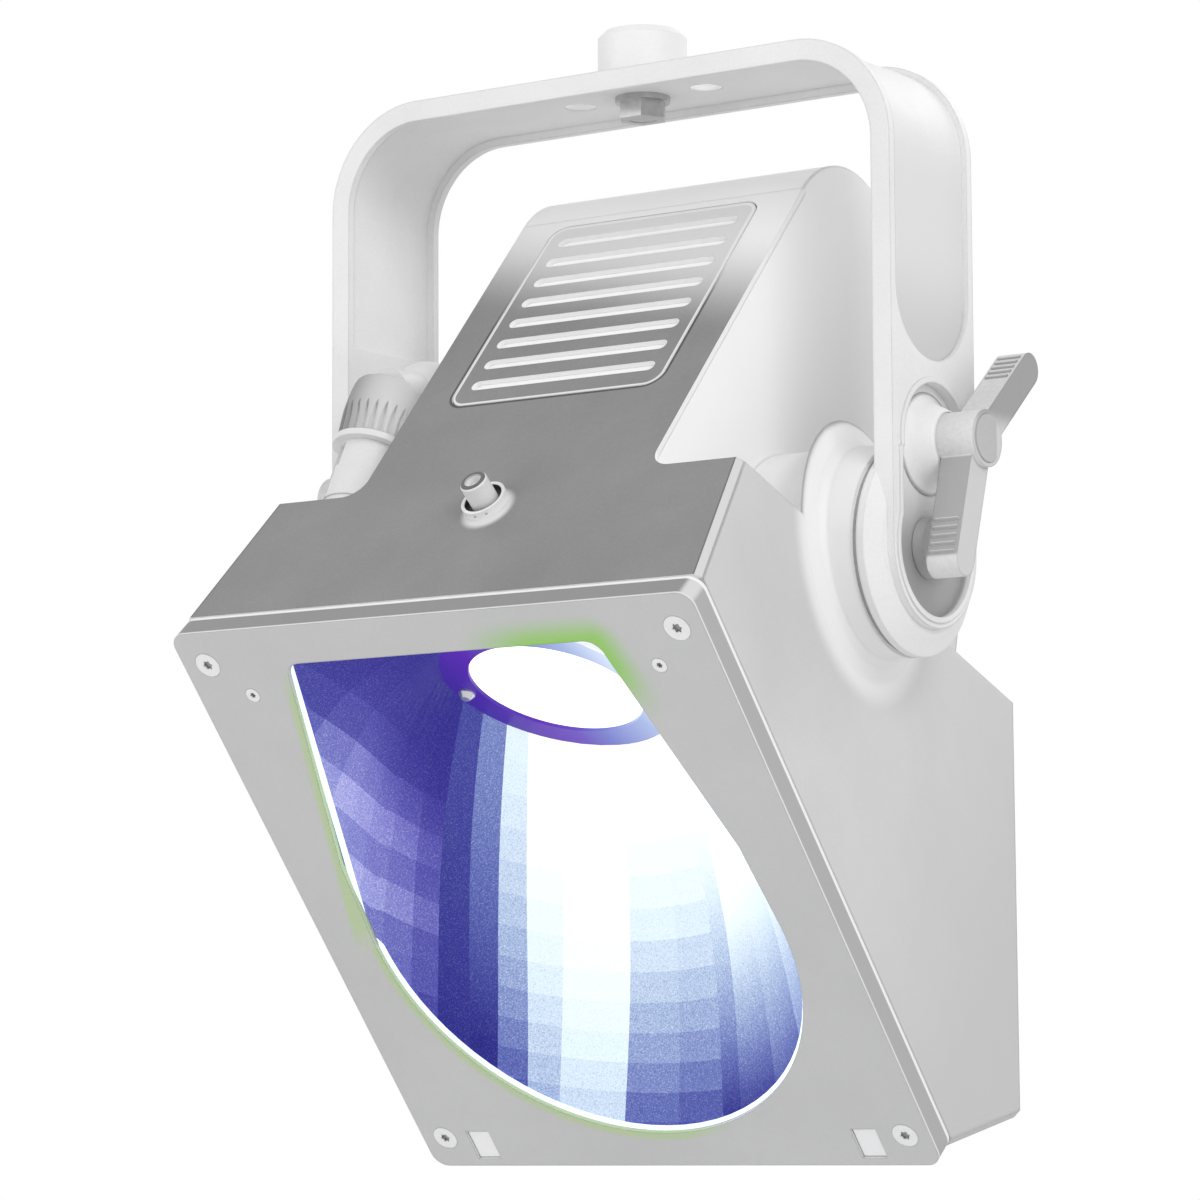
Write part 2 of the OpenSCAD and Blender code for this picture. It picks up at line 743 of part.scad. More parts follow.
module reflector_screw() {
  color([0.9, 0.9, 0.9]) on_engine() translate([screw_x, screw_y, 0]) {
    translate([0, 0, screw_z]) cylinder(d = 7.4, h = 1.2);
    translate([0, 0, screw_z - 2.2]) cylinder(d1 = 4, d2 = 7.4, h = 2.2);
    translate([0, 0, screw_z]) cylinder(d = 3, h = ring_t - screw_z);
  }
}

module engine_plate() {
  color([0.7, 0.7, 0.7]) on_engine() difference() {
    translate([-lug_x - 5, -52, ring_t]) cube([2 * lug_x + 10, 104, 3]);
    translate([0, 0, ring_t - 1]) cylinder(d = 97, h = 5);
    both_sides() for (y = [-34, 34])
      translate([lug_x, y, ring_t - 1]) cylinder(d = 3, h = 10);
  }
}

module engine_screws() {
  color([0.8, 0.8, 0.8]) on_engine() both_sides() for (y = [-34, 34])
    translate([lug_x, y, 0.5]) {
      cylinder(d = 3, h = 8.5);
      translate([0, 0, 8.5]) difference() {
        cylinder(d = 5.5, h = 2.4);
        translate([0, 0, 1]) cylinder(d = 2.4, h = 2);
      }
    }
}

chamber_h = 28;
module mixing_chamber() {
  color([0.95, 0.95, 0.95]) on_engine() translate([0, 0, ring_t])
    difference() {
      cylinder(d = window_d + 12, h = chamber_h);
      translate([0, 0, -1]) cylinder(d = window_d - 6, h = chamber_h + 2);
    }
}

board_z = ring_t + chamber_h;
module led_board() {
  color([0.9, 0.92, 0.9]) on_engine() {
    translate([0, 0, board_z]) cylinder(d = window_d + 12, h = 2);
    for (r = [9, 20, 31]) for (i = [0 : round(r * 0.6)])
      rotate([0, 0, i * 360 / (round(r * 0.6) + 1)])
        translate([r - 1.75, -1.75, board_z - 1.2]) cube([3.5, 3.5, 1.3]);
  }
}

sink_z = board_z + 2;
sink_h = 46;
module heat_sink() {
  color([0.75, 0.75, 0.76]) on_engine() difference() {
    union() {
      rr_z(-49, 49, -49, 49, 8, sink_z, sink_z + 8);
      for (i = [-5 : 5]) translate([i * 6 - 0.9, -49, sink_z + 7])
        cube([1.8, 98, sink_h - 7]);
      for (s = [-1, 1]) for (i = [6 : 8])
        translate([s * i * 6 - 0.9, -32, sink_z + 7])
          cube([1.8, 64, sink_h - 7]);
      for (x = [-41, 41]) for (y = [-41, 41])
        translate([x, y, sink_z]) cylinder(d = 10, h = sink_h);
    }
    for (x = [-41, 41]) for (y = [-41, 41])
      translate([x, y, sink_z - 1]) cylinder(d = 4, h = sink_h + 2);
  }
}

// Pillars between the engine plate and the heat sink.
module engine_posts() {
  color([0.8, 0.8, 0.8]) on_engine()
    for (x = [-41, 41]) for (y = [-41, 41]) translate([x, y, ring_t + 3]) {
      cylinder(d = 9, h = sink_z - ring_t - 3, $fn = 6);
      translate([0, 0, 10]) cylinder(d = 4, h = sink_z - ring_t + 5);
    }
}

fan_z = sink_z + sink_h;
fan_s = 92;
module fan_frame() {
  color([0.2, 0.2, 0.2]) on_engine() translate([0, 0, fan_z]) {
    difference() {
      rr_z(-fan_s / 2, fan_s / 2, -fan_s / 2, fan_s / 2, 5, 0, 25);
      translate([0, 0, -1]) cylinder(d = fan_s - 4, h = 27);
      for (x = [-41, 41]) for (y = [-41, 41])
        translate([x, y, -1]) cylinder(d = 4, h = 27);
    }
    difference() {
      union() {
        translate([0, 0, 22]) cylinder(d = 36, h = 3);
        for (a = [45, 165, 285]) rotate([0, 0, a])
          translate([10, -2.5, 22]) cube([36, 5, 3]);
        translate([0, 0, 8]) cylinder(d = 5, h = 15);
      }
    }
  }
}

module fan_rotor() {
  color([0.25, 0.25, 0.25]) on_engine() translate([0, 0, fan_z]) {
    difference() {
      union() {
        translate([0, 0, 2]) cylinder(d = 38, h = 19);
        for (i = [0 : 6]) rotate([0, 0, i * 360 / 7])
          translate([17, 0, 11]) rotate([34, 0, 0])
            translate([0, -10, -0.8]) cube([25, 20, 1.6]);
      }
      translate([0, 0, 7]) cylinder(d = 5 + 2 * run_fit, h = 20);
    }
  }
}

module fan_screws() {
  color([0.8, 0.8, 0.8]) on_engine() translate([0, 0, fan_z])
    for (x = [-41, 41]) for (y = [-41, 41]) translate([x, y, 0]) {
      translate([0, 0, -14]) cylinder(d = 4, h = 39);
      difference() {
        translate([0, 0, 25]) cylinder(d = 7, h = 2.4);
        translate([0, 0, 26]) cylinder(d = 2.4, h = 2);
      }
    }
}

module driver_board() {
  color([0.1, 0.35, 0.2]) on_back()
    translate([-84, -44, 18]) cube([168, 84, 1.6]);
}

module driver_parts() {
  color([0.15, 0.15, 0.15]) on_back() translate([0, 0, 19.6]) {
    translate([-72, -16, 0]) cube([34, 30, 18]);
    translate([-30, -20, 0]) cube([26, 26, 12]);
    for (x = [10, 26, 42]) translate([x, 4, 0]) cylinder(d = 12, h = 16);
    translate([58, -20, 0]) cube([14, 50, 10]);
  }
}

module board_standoffs() {
  color([0.8, 0.7, 0.4]) on_back()
    for (x = [-79, 79]) for (y = [-39, 35])
      translate([x, y, wall]) cylinder(d = 6, h = 15, $fn = 6);
}

// Covers

cover_xy = [[-50, 100], [50, 100], [-100, 14], [100, 14]];
module cover_2d() {
  w1 = body_hx - draft * wing_q * cos(plate_a);
  difference() {
    union() {
      polygon([[-body_hx, 0], [body_hx, 0], [w1, wing_q], [-w1, wing_q]]);
      translate([-neck_hx, 0]) square([2 * neck_hx, neck_q]);
      for (s = [-1, 1]) translate([s * neck_hx - 10, wing_q - 1])
        square([20, 11]);
    }
    for (s = [-1, 1]) translate([s * (neck_hx + 10), wing_q + 10])
      circle(r = 10);
  }
}

module top_cover() {
  color([0.53, 0.53, 0.53]) difference() {
    on_plate() difference() {
      translate([0, 0, -cover_t]) linear_extrude(height = cover_t)
        cover_2d();
      rr_z(-54.6, 54.6, 124.4, 246.6, 8.6, -9, 9);
      translate([0, 56, -9]) cylinder(d = 15, h = 20);
      for (p = cover_xy) translate([p.x, p.y, -8]) cylinder(d = 3, h = 7);
    }
    edge_bevels();
  }
}

module cover_screws() {
  color([0.8, 0.8, 0.8]) on_plate() for (p = cover_xy)
    translate([p.x, p.y, 0]) {
      translate([0, 0, -6]) cylinder(d = 2.9, h = 4.9);
      difference() {
        translate([0, 0, -7.7]) cylinder(d = 5.6, h = 2.1);
        translate([0, 0, -8]) cylinder(d = 2.6, h = 1.4);
      }
    }
}

module vent_grille() {
  color([0.55, 0.55, 0.55]) on_plate() difference() {
    rr_z(-54, 54, 125, 246, 8, -cover_t, 0);
    for (i = [0 : slots - 1]) translate([0, 137.5 + i * slot_pitch, -9]) {
      translate([-slot_hx, -slot_w / 2, 0])
        cube([2 * slot_hx, slot_w, 20]);
      for (s = [-1, 1]) translate([s * slot_hx, 0, 0])
        cylinder(d = slot_w, h = 20);
    }
  }
}

// Pale foam filter held under the grille.
module vent_filter() {
  color([0.95, 0.95, 0.95]) on_plate()
    rr_z(-48.8, 48.8, 130.2, 240.8, 4.8, -cover_t - 2, -cover_t);
}

module rear_grille() {
  color([0.7, 0.7, 0.7]) in_head()
    translate([0, 158, 18]) rotate([-10, 0, 0]) difference() {
      rr_y(-59.8, 59.8, -33.8, 33.8, 7.8, -1.2, 0.8);
      for (z = [-24 : 8 : 24])
        rr_y(-50, 50, z - 2, z + 2, 1.9, -5, 5);
    }
}

pin_d = 12;
pin_h = 13.3;
module plunger_collar() {
  color([0.9, 0.9, 0.9]) on_plate() translate([0, 56, 0]) difference() {
    union() {
      cylinder(d = 20, h = 3.6);
      translate([0, 0, -8]) cylinder(d = 15, h = 8.5);
    }
    translate([0, 0, -9]) cylinder(d = pin_d + 2 * run_fit, h = 20);
    // Sunk floor inside the raised ring.
    translate([0, 0, 1]) cylinder(d = 17, h = 5);
    for (a = [-60, -90, -120]) rotate([0, 0, a])
      translate([9.2, 0, 1.9]) rotate([0, 90, 0]) cylinder(d = 1.2, h = 3);
  }
}

module plunger_pin() {
  color([0.9, 0.9, 0.9]) on_plate() translate([0, 56, 0]) difference() {
    union() {
      translate([0, 0, -16]) cylinder(d = pin_d, h = 15 + pin_h);
      translate([0, 0, pin_h - 1]) cylinder(d1 = pin_d, d2 = pin_d - 1.6, h = 1);
      translate([0, 0, -13]) cylinder(d = 15, h = 4.7);
    }
    translate([0, 0, pin_h - 3.5]) cylinder(d = 7.4, h = 5);
  }
}

// Power connector on the left shoulder

module power_inlet() {
  color([0.85, 0.85, 0.85]) on_plug() difference() {
    union() {
      translate([0, 0, -18]) cylinder(d = 26.2, h = 26);
      translate([0, 0, 7]) cylinder(d = 30, h = 3);
    }
    translate([0, 0, -15]) cylinder(d = 21, h = 30);
  }
}

skirt_h = 28;
ring_h = 24;
ring_z = 13.3 + skirt_h;
module plug_skirt() {
  color([0.88, 0.88, 0.88]) on_plug() difference() {
    union() {
      translate([0, 0, -8]) cylinder(d = 20.8, h = 18);
      translate([0, 0, 10]) cylinder(d1 = 31.5, d2 = 27, h = skirt_h);
      translate([0, 0, 10 + skirt_h]) cylinder(d = 35, h = 3);
      translate([0, 0, 13 + skirt_h]) cylinder(d = 21, h = ring_h + 0.6);
    }
    // Keyed window and long groove on the side of the skirt.
    rotate([0, 0, 236]) {
      translate([11, -3.2, skirt_h - 2]) cube([6, 6.4, 11]);
      translate([13.4, -0.8, 4]) cube([4, 1.6, skirt_h - 3]);
    }
    translate([0, 0, -9]) cylinder(d = 14, h = 120);
  }
}

// Fluted clamping ring, free to turn on the plug body.
module plug_ring() {
  color([0.85, 0.85, 0.85]) on_plug() difference() {
    union() {
      translate([0, 0, ring_z]) cylinder(d = 33, h = 15);
      translate([0, 0, ring_z + 15]) cylinder(d1 = 33, d2 = 27, h = ring_h - 15);
    }
    translate([0, 0, ring_z - 1])
      cylinder(d = 21 + 2 * run_fit, h = ring_h + 2);
    for (i = [0 : 23]) rotate([0, 0, i * 15])
      translate([16.7, 0, ring_z - 1]) cylinder(d = 2.4, h = 14);
  }
}

// Angled cable boot. Its dome sits behind the ring.
boot_at = [0, 25.9, 79.7];
module plug_gland() {
  top = ring_z + ring_h + 0.3;
  color([0.93, 0.93, 0.93]) on_plug() difference() {
    union() {
      translate([0, 0, top]) cylinder(d = 26, h = 4);
      translate([0, 0, top + 2]) rotate([-64.5, 0, 0]) cylinder(d = 22, h = 27);
      translate(boot_at) sphere(d = 32.4);
      translate(boot_at) rotate([-92, 0, 0]) cylinder(d = 18, h = 30);
    }
    translate([0, 0, 20]) cylinder(d = 60, h = top - 20);
    translate([0, 0, top - 1]) cylinder(d = 14, h = 5);
    translate(boot_at) rotate([-92, 0, 0]) cylinder(d = 9, h = 40);
  }
}

module data_sockets() {
  color([0.2, 0.2, 0.2]) on_back() for (x = [-30, 30])
    translate([x, 0, 0]) difference() {
      union() {
        translate([0, 0, -3]) cylinder(d = 27, h = 3);
        translate([0, 0, -2]) cylinder(d = 24, h = 17);
      }
      difference() {
        translate([0, 0, -4]) cylinder(d = 18, h = 14);
        translate([0, 0, -5]) cylinder(d = 13, h = 20);
      }
    }
}

yoke();
clamp_foot();
hanging_bolt();
bolt_washer();
pivot_bushes();
brake_plates();
friction_discs();
pivot_bolts();
pivot_nuts();
lever_right();
lever_left();
lever_cap_right();
lever_cap_left();
lever_flange_right();
lever_flange_left();
body_shell();
front_bezel();
seam_gasket();
bezel_screws();
retainer_screws();
retainer_tabs();
reflector();
reflector_screw();
reflector_frame();
engine_plate();
engine_screws();
engine_posts();
led_window();
window_ring();
mixing_chamber();
led_board();
heat_sink();
fan_frame();
fan_rotor();
fan_screws();
driver_board();
driver_parts();
board_standoffs();
top_cover();
cover_screws();
vent_grille();
vent_filter();
rear_grille();
plunger_collar();
plunger_pin();
power_inlet();
plug_skirt();
plug_ring();
plug_gland();
data_sockets();
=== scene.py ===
import json
import math

import bmesh
import bpy
from mathutils import Matrix, Vector


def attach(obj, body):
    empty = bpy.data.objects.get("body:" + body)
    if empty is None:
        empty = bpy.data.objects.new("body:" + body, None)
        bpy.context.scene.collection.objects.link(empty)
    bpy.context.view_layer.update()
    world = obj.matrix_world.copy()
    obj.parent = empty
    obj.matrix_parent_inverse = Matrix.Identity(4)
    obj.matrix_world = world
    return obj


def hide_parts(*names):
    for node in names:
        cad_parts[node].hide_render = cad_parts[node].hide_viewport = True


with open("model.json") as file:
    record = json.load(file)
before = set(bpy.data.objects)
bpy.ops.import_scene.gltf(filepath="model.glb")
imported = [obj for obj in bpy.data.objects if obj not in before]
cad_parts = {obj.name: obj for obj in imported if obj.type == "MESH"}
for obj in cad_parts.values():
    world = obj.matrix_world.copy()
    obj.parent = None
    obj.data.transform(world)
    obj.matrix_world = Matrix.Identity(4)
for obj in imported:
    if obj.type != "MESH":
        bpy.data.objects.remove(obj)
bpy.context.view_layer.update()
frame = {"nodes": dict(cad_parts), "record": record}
nodes = frame["nodes"]
scene = bpy.context.scene
scene.view_settings.view_transform = "Standard"

# The row frame has its origin at the hanging thread. The head is drawn level in its
# own frame, with the origin at the pivots, and tilted nose down, as in the CAD.
MM = 1000
TOP = 0.2376
TILT = math.radians(40.4)
HEAD = Matrix.Translation((0, 0, -TOP)) @ Matrix.Rotation(TILT, 4, "X")

# Camera at the viewing angle of the photograph. The focal length is in its pixels.
PHOTO_PX = 1200
FOCAL_PX = 4638.7
CAMERA_AT = (1.1087, -1.6454, -0.4797)
YAW, PITCH, ROLL = math.radians(34.54), math.radians(6.63), math.radians(-0.27)

# Stage.
FLOOR_Z, FLOOR_HALF = -0.62, 6.0
AMBIENT = 0.62
LAMP_AIM = (0, 0, -0.25)
LAMPS = [("key_soft", (2.0, -1.2, 1.0), 1.6, 22), ("fill_soft", (-1.6, -2.2, 0.3), 1.8, 14),
         ("rim_soft", (0.4, 2.4, 1.4), 1.6, 14)]

# Cover plate, in millimetres of the head frame: its slope, and the offsets that measure
# along it from its lower edge and from the stub, and its height above the pivots.
PLATE_COS, PLATE_SIN = 0.991, 0.1345
PLATE_START, STUB_AT, PLATE_HIGH = 121.8, 64.9, 98.15
# Vent panel: middle and half sizes of its straight sides, and its corner radius.
PANEL_FROM, PANEL_MID, PANEL_HALF_X, PANEL_HALF_Q, PANEL_R = 120.9, 185.5, 46.0, 52.5, 8.6

# Bezel: front face, back of its front edge, and the seam behind it.
FACE_Y, EDGE_Y, SEAM_Y = 145.5, -144.2, -135.9
# Opening: centre of its polar form, round lower end, top edge and slanting sides.
OPEN_C, ROUND_Z, ROUND_R, OPEN_TOP, OPEN_LOW = -62.0, -87.5, 104.3, 63, 20
SIDE_LOW, SIDE_HIGH = (104, -62), (78.5, 62)
SIDE_NX, SIDE_NZ, SIDE_OFF = 0.9758, 0.2186, 89.2

# Window of the lamp: tilt, middle and the radius of its lip.
TIP = math.radians(26)
WINDOW = Vector((0, -86.7, 2.1))
LIP_R = 50.3
# The reflector starts this far behind the bezel's face, bulges out and a little back.
RIM_BACK, BULGE, BULGE_BACK = 4, 9, 0.35
AXIS = Vector((0, -math.cos(TIP), -math.sin(TIP)))

# Levers: height of their axis in the row frame, in millimetres.
LEVER_Z = -194.0

# Power connector: its local Z points out of the shoulder of the housing.
PLUG = HEAD @ Matrix.Translation((-0.1, -0.0468, 0.0638)) @ Matrix.Rotation(
    math.radians(-62), 4, "X")
RING_BASE = 41.3
FLUTES, FLUTE_STEPS = 24, 8
FLUTE_DEEP, FLUTE_WIDE, FLUTE_TIP, FLUTE_RUN = 1.5, 3.2, 15, 8


def make_camera():
    cam = bpy.data.objects.new("camera", bpy.data.cameras.new("camera"))
    scene.collection.objects.link(cam)
    scene.camera = cam
    right = Vector((math.cos(YAW), math.sin(YAW), 0))
    fwd = Vector((-math.sin(YAW) * math.cos(PITCH), math.cos(YAW) * math.cos(PITCH),
                  math.sin(PITCH)))
    up = right.cross(fwd)
    m = Matrix((right, up, -fwd)).transposed().to_4x4()
    cam.matrix_world = Matrix.Translation(CAMERA_AT) @ m @ Matrix.Rotation(ROLL, 4, "Z")
    cam.data.sensor_width = 36
    cam.data.sensor_fit = "HORIZONTAL"
    cam.data.lens = FOCAL_PX / PHOTO_PX * cam.data.sensor_width
    cam.data.clip_start = 0.05
    cam.data.clip_end = 60


class Nodes:
    """Small helpers for node materials."""

    def __init__(self, name):
        self.mat = bpy.data.materials.new(name)
        self.mat.use_nodes = True
        self.t = self.mat.node_tree
        self.bsdf = self.t.nodes["Principled BSDF"]

    def new(self, kind, **sockets):
        n = self.t.nodes.new(kind)
        for k, v in sockets.items():
            n.inputs[k.replace("_", " ")].default_value = v
        return n

    def link(self, a, b):
        self.t.links.new(a, b)

    def coord(self, which="Object"):
        return self.new("ShaderNodeTexCoord").outputs[which]

    def split(self, vector):
        n = self.new("ShaderNodeSeparateXYZ")
        self.link(vector, n.inputs[0])
        return n.outputs["X"], n.outputs["Y"], n.outputs["Z"]

    def vector(self, op, value, other):
        n = self.new("ShaderNodeVectorMath")
        n.operation = op
        self.link(value, n.inputs[0])
        n.inputs["Scale" if op == "SCALE" else 1].default_value = other
        return n.outputs["Value" if op == "DOT_PRODUCT" else "Vector"]

    def head(self):
        """Head-frame X, Y, Z in millimetres, fixed to the head."""
        r = self.new("ShaderNodeVectorRotate")
        r.rotation_type = "X_AXIS"
        r.inputs["Angle"].default_value = -TILT
        self.link(self.vector("ADD", self.coord(), (0, 0, TOP)), r.inputs["Vector"])
        return self.split(self.vector("SCALE", r.outputs[0], MM))

    def math(self, op, a, b=None, clamp=False):
        n = self.new("ShaderNodeMath")
        n.operation = op
        n.use_clamp = clamp
        for i, v in enumerate((a, b)):
            if v is None:
                continue
            if isinstance(v, (int, float)):
                n.inputs[i].default_value = v
            else:
                self.link(v, n.inputs[i])
        return n.outputs[0]

    def times(self, first, *others):
        for v in others:
            first = self.math("MULTIPLY", first, v)
        return first

    def along(self, terms, offset):
        """Sum of socket times factor, plus offset."""
        total = None
        for sock, k in terms:
            v = self.math("MULTIPLY", sock, k)
            total = v if total is None else self.math("ADD", total, v)
        return self.math("ADD", total, offset)

    def size(self, value):
        return self.math("ABSOLUTE", value)

    def radius(self, a, b):
        squares = [self.math("POWER", v, 2.0) for v in (a, b)]
        return self.math("SQRT", self.math("ADD", *squares))

    def smooth(self, value, a, b):
        """0 before a, 1 after b and a soft step between them."""
        n = self.new("ShaderNodeMapRange")
        n.interpolation_type = "SMOOTHSTEP"
        n.inputs["From Min"].default_value = a
        n.inputs["From Max"].default_value = b
        self.link(value, n.inputs["Value"])
        return n.outputs["Result"]

    def facing(self, direction):
        """How much a face looks along a direction of the row frame, from -1 to 1."""
        return self.vector("DOT_PRODUCT", self.coord("Normal"), direction)

    def noise(self, scale, detail=3.0, rough=0.55):
        n = self.new("ShaderNodeTexNoise", Scale=scale, Detail=detail, Roughness=rough)
        self.link(self.coord(), n.inputs["Vector"])
        return n.outputs["Fac"]

    def ramp(self, fac, stops):
        n = self.new("ShaderNodeValToRGB")
        r = n.color_ramp
        while len(r.elements) < len(stops):
            r.elements.new(0.5)
        for e, (p, c) in zip(r.elements, stops):
            e.position = p
            e.color = (*c, 1)
        self.link(fac, n.inputs["Fac"])
        return n.outputs["Color"]

    def mix(self, fac, a, b):
        n = self.new("ShaderNodeMix")
        n.data_type = "RGBA"
        for sock, v in ((n.inputs[0], fac), (n.inputs[6], a), (n.inputs[7], b)):
            if isinstance(v, (int, float)):
                sock.default_value = v
            elif isinstance(v, tuple):
                sock.default_value = (*v, 1)
            else:
                self.link(v, sock)
        return n.outputs[2]

    def bump(self, height, strength, distance, normal=None):
        n = self.new("ShaderNodeBump", Strength=strength, Distance=distance)
        self.link(height, n.inputs["Height"])
        if normal is not None:
            self.link(normal, n.inputs["Normal"])
        return n.outputs["Normal"]

    def set(self, **values):
        for k, v in values.items():
            self.bsdf.inputs[k.replace("_", " ")].default_value = v

    def retint(self, fac, colour):
        """Blends the base colour of a finished material towards another one."""
        old = self.bsdf.inputs["Base Color"].links[0].from_socket
        self.link(self.mix(fac, old, colour), self.bsdf.inputs["Base Color"])

    def lit(self, colour):
        """Glow of the lit lamp in one colour socket, over a darker base."""
        self.link(colour, self.bsdf.inputs["Emission Color"])
        self.link(self.mix(0.75, colour, (0.0, 0.0, 0.0)), self.bsdf.inputs["Base Color"])
        self.set(Emission_Strength=0.9, Roughness=0.35, Specular_IOR_Level=0.2)


def lin(v):
    v = v / 255
    return v / 12.92 if v < 0.04045 else ((v + 0.055) / 1.055) ** 2.4


def rgb(r, g=None, b=None):
    g, b = (r, r) if g is None else (g, b)
    return (lin(r), lin(g), lin(b))


def grain_metal(name, low, high, rough=0.5, metallic=0.0, grain=900, bump=0.12,
                round_edge=0.0):
    """Coated metal: fine orange-peel grain with slow cloudy tone changes."""
    n = Nodes(name)
    fine = n.noise(grain, 2)
    both = n.math("ADD", n.times(n.noise(14, 4), 0.7), n.times(fine, 0.3))
    n.link(n.ramp(both, [(0.36, low), (0.64, high)]), n.bsdf.inputs["Base Color"])
    r = n.along([(n.noise(40, 3), 0.16)], rough - 0.08)
    n.link(r, n.bsdf.inputs["Roughness"])
    normal = None
    if round_edge:
        b = n.new("ShaderNodeBevel", Radius=round_edge)
        b.samples = 4
        normal = b.outputs["Normal"]
    n.link(n.bump(fine, bump, 0.0004, normal), n.bsdf.inputs["Normal"])
    n.set(Metallic=metallic)
    return n


def up_plate(n, y, z, offset, slant=()):
    """Distance along the slope of the cover plate, in millimetres."""
    return n.along([(y, PLATE_COS), (z, PLATE_SIN), *slant], offset)


def body_material():
    """Pale casting with painted light: a white neck and a pale ring round each boss, painted
    shade on the bevels and towards the foot.
    """
    neck_from, neck_width, neck_depth, neck_top = (40, 75), (104, 84), (110, 8), 98.8
    boss_ring, boss_side = (67, 55), (90, 105)
    bevel_x, bevel_y, bevel_z = 0.707, -0.527, 0.472
    bevel_match, bevel_end, foot = (0.93, 0.985), (80, 60), (-60, -215)
    n = grain_metal("body_pale", rgb(203), rgb(211), rough=0.5, round_edge=0.0028)
    x, y, z = n.head()
    q = up_plate(n, y, z, PLATE_START)
    depth = n.along([(y, PLATE_SIN), (z, -PLATE_COS)], neck_top)
    wide = n.size(x)
    # Painted light: the neck is painted paler, whitest near the top of the plate.
    neck = n.times(n.smooth(q, *neck_from), n.smooth(wide, *neck_width))
    n.retint(neck, rgb(224))
    n.retint(n.times(neck, n.smooth(depth, *neck_depth)), rgb(250))
    # Painted glow: a pale ring is painted on the side walls round each boss.
    ring = n.times(n.smooth(n.radius(y, z), *boss_ring), n.smooth(wide, *boss_side))
    n.retint(ring, rgb(240))
    # Painted shade: the long bevels beside the cover plate, found by the way they face, are
    # painted a little darker than the side walls.
    bevel = n.math("MAXIMUM", n.facing((bevel_x, bevel_y, bevel_z)),
                   n.facing((-bevel_x, bevel_y, bevel_z)))
    n.retint(n.times(n.smooth(bevel, *bevel_match), n.smooth(q, *bevel_end)), rgb(178))
    # Painted shade: the housing is painted darker towards its bottom.
    n.retint(n.smooth(z, *foot), rgb(196))
    return n.mat


def cover_material():
    """Grey plate, with a painted highlight that pales it towards its top, where it bends
    over, and a darker border.
    """
    slant, slant_start, painted_light_top, panel_fade = 0.25, PLATE_START + 15, (186, 258), (196, 250)
    glow_x, glow_at, glow = 2.0, PLATE_START - 54, (13.5, 9.5)
    half_wide, taper, front_y, border_edge = 129.5, 0.149, 133, (4.2, 3.6)
    plate_front, cut_edge = (0, -0.7447, 0.6674), (0.9, 0.6)
    n = grain_metal("cover_grey", rgb(126), rgb(140), rough=0.42, round_edge=0.0006)
    x, y, z = n.head()
    slanting = up_plate(n, y, z, slant_start, [(x, slant)])
    # Painted highlight: paler towards the top of the plate, where it bends over.
    n.retint(n.smooth(slanting, *painted_light_top), rgb(248))
    # Light thrown back onto the plate by the stub.
    spot = n.radius(n.along([(x, 1)], -glow_x), up_plate(n, y, z, glow_at))
    n.retint(n.times(n.smooth(spot, *glow), 0.8), rgb(240))
    border = n.along([(y, -taper), (n.size(x), -1)], half_wide - taper * front_y)
    n.retint(n.smooth(border, *border_edge), rgb(104))
    panel_groove(n, x, up_plate(n, y, z, PANEL_FROM), n.smooth(slanting, *panel_fade))
    # Painted light: the cut edges of slots and plate, which face away from the plate's
    # front, are painted bright.
    n.retint(n.smooth(n.facing(plate_front), *cut_edge), rgb(244))
    return n.mat


def panel_groove(n, x, q, fade):
    """Groove round the vent panel: painted highlight on its inner edge, painted shadow to
    the left and below.
    """
    inside, bright_in, bright_out = (-1.5, -3.0), (-1.9, -1.5), (0.1, -0.2)
    dark_in, dark_out = (-0.3, 0.0), (1.5, 0.9)
    beside, beside_end, below = (40, 52), (205, 170), (145, 128)
    wide = n.size(x)
    dx = n.math("MAXIMUM", n.along([(wide, 1)], -PANEL_HALF_X), 0.0)
    from_mid = n.size(n.along([(q, 1)], -PANEL_MID))
    dq = n.math("MAXIMUM", n.along([(from_mid, 1)], -PANEL_HALF_Q), 0.0)
    dist = n.math("SUBTRACT", n.radius(dx, dq), PANEL_R)
    # Inside the panel the painted highlight of the plate's top is held back.
    n.retint(n.times(fade, 0.6, n.smooth(dist, *inside)), rgb(204))
    # Painted highlight: a bright line along the inner edge of the groove.
    n.retint(n.times(n.smooth(dist, *bright_in), n.smooth(dist, *bright_out)), rgb(236))
    # Painted shadow in the groove beside and below the panel.
    sides = n.times(n.smooth(wide, *beside), n.smooth(q, *beside_end))
    shaded = n.math("MAXIMUM", sides, n.smooth(q, *below))
    groove = n.times(n.smooth(dist, *dark_in), n.smooth(dist, *dark_out))
    n.retint(n.times(groove, shaded, 0.85), rgb(40))


def bezel_material():
    """Grey frame: painted shade on the side walls, a painted highlight on the front edge,
    bright seam, painted green glow of the lamp.
    """
    side_wall, over_top = (EDGE_Y - 0.7, EDGE_Y), (79.5, 80.5)
    corner_way, corner_match = (0.707, -0.458, 0.538), (0.8, 0.98)
    line_front, line_back = (EDGE_Y - 1.25, EDGE_Y - 1), (EDGE_Y, EDGE_Y - 0.7)
    n = grain_metal("bezel_grey", rgb(201), rgb(207), rough=0.5, round_edge=0.001)
    x, y, z = n.head()
    # Painted shade: the walls behind the front edge are painted darker, the top wall
    # darkest.
    wall = n.smooth(y, *side_wall)
    n.retint(n.times(wall, 0.9), rgb(170))
    n.retint(n.times(wall, n.smooth(z, *over_top)), rgb(142))
    # Painted highlight where the top wall rounds into the side wall.
    n.retint(n.times(wall, n.smooth(n.facing(corner_way), *corner_match)), rgb(216))
    n.retint(n.smooth(y, SEAM_Y, SEAM_Y + 0.6), rgb(246))
    # Painted highlight along the rounded front edge.
    line = n.times(n.smooth(y, *line_front), n.smooth(y, *line_back))
    n.retint(line, rgb(238))
    opening_glow(n, x, z)
    return n.mat


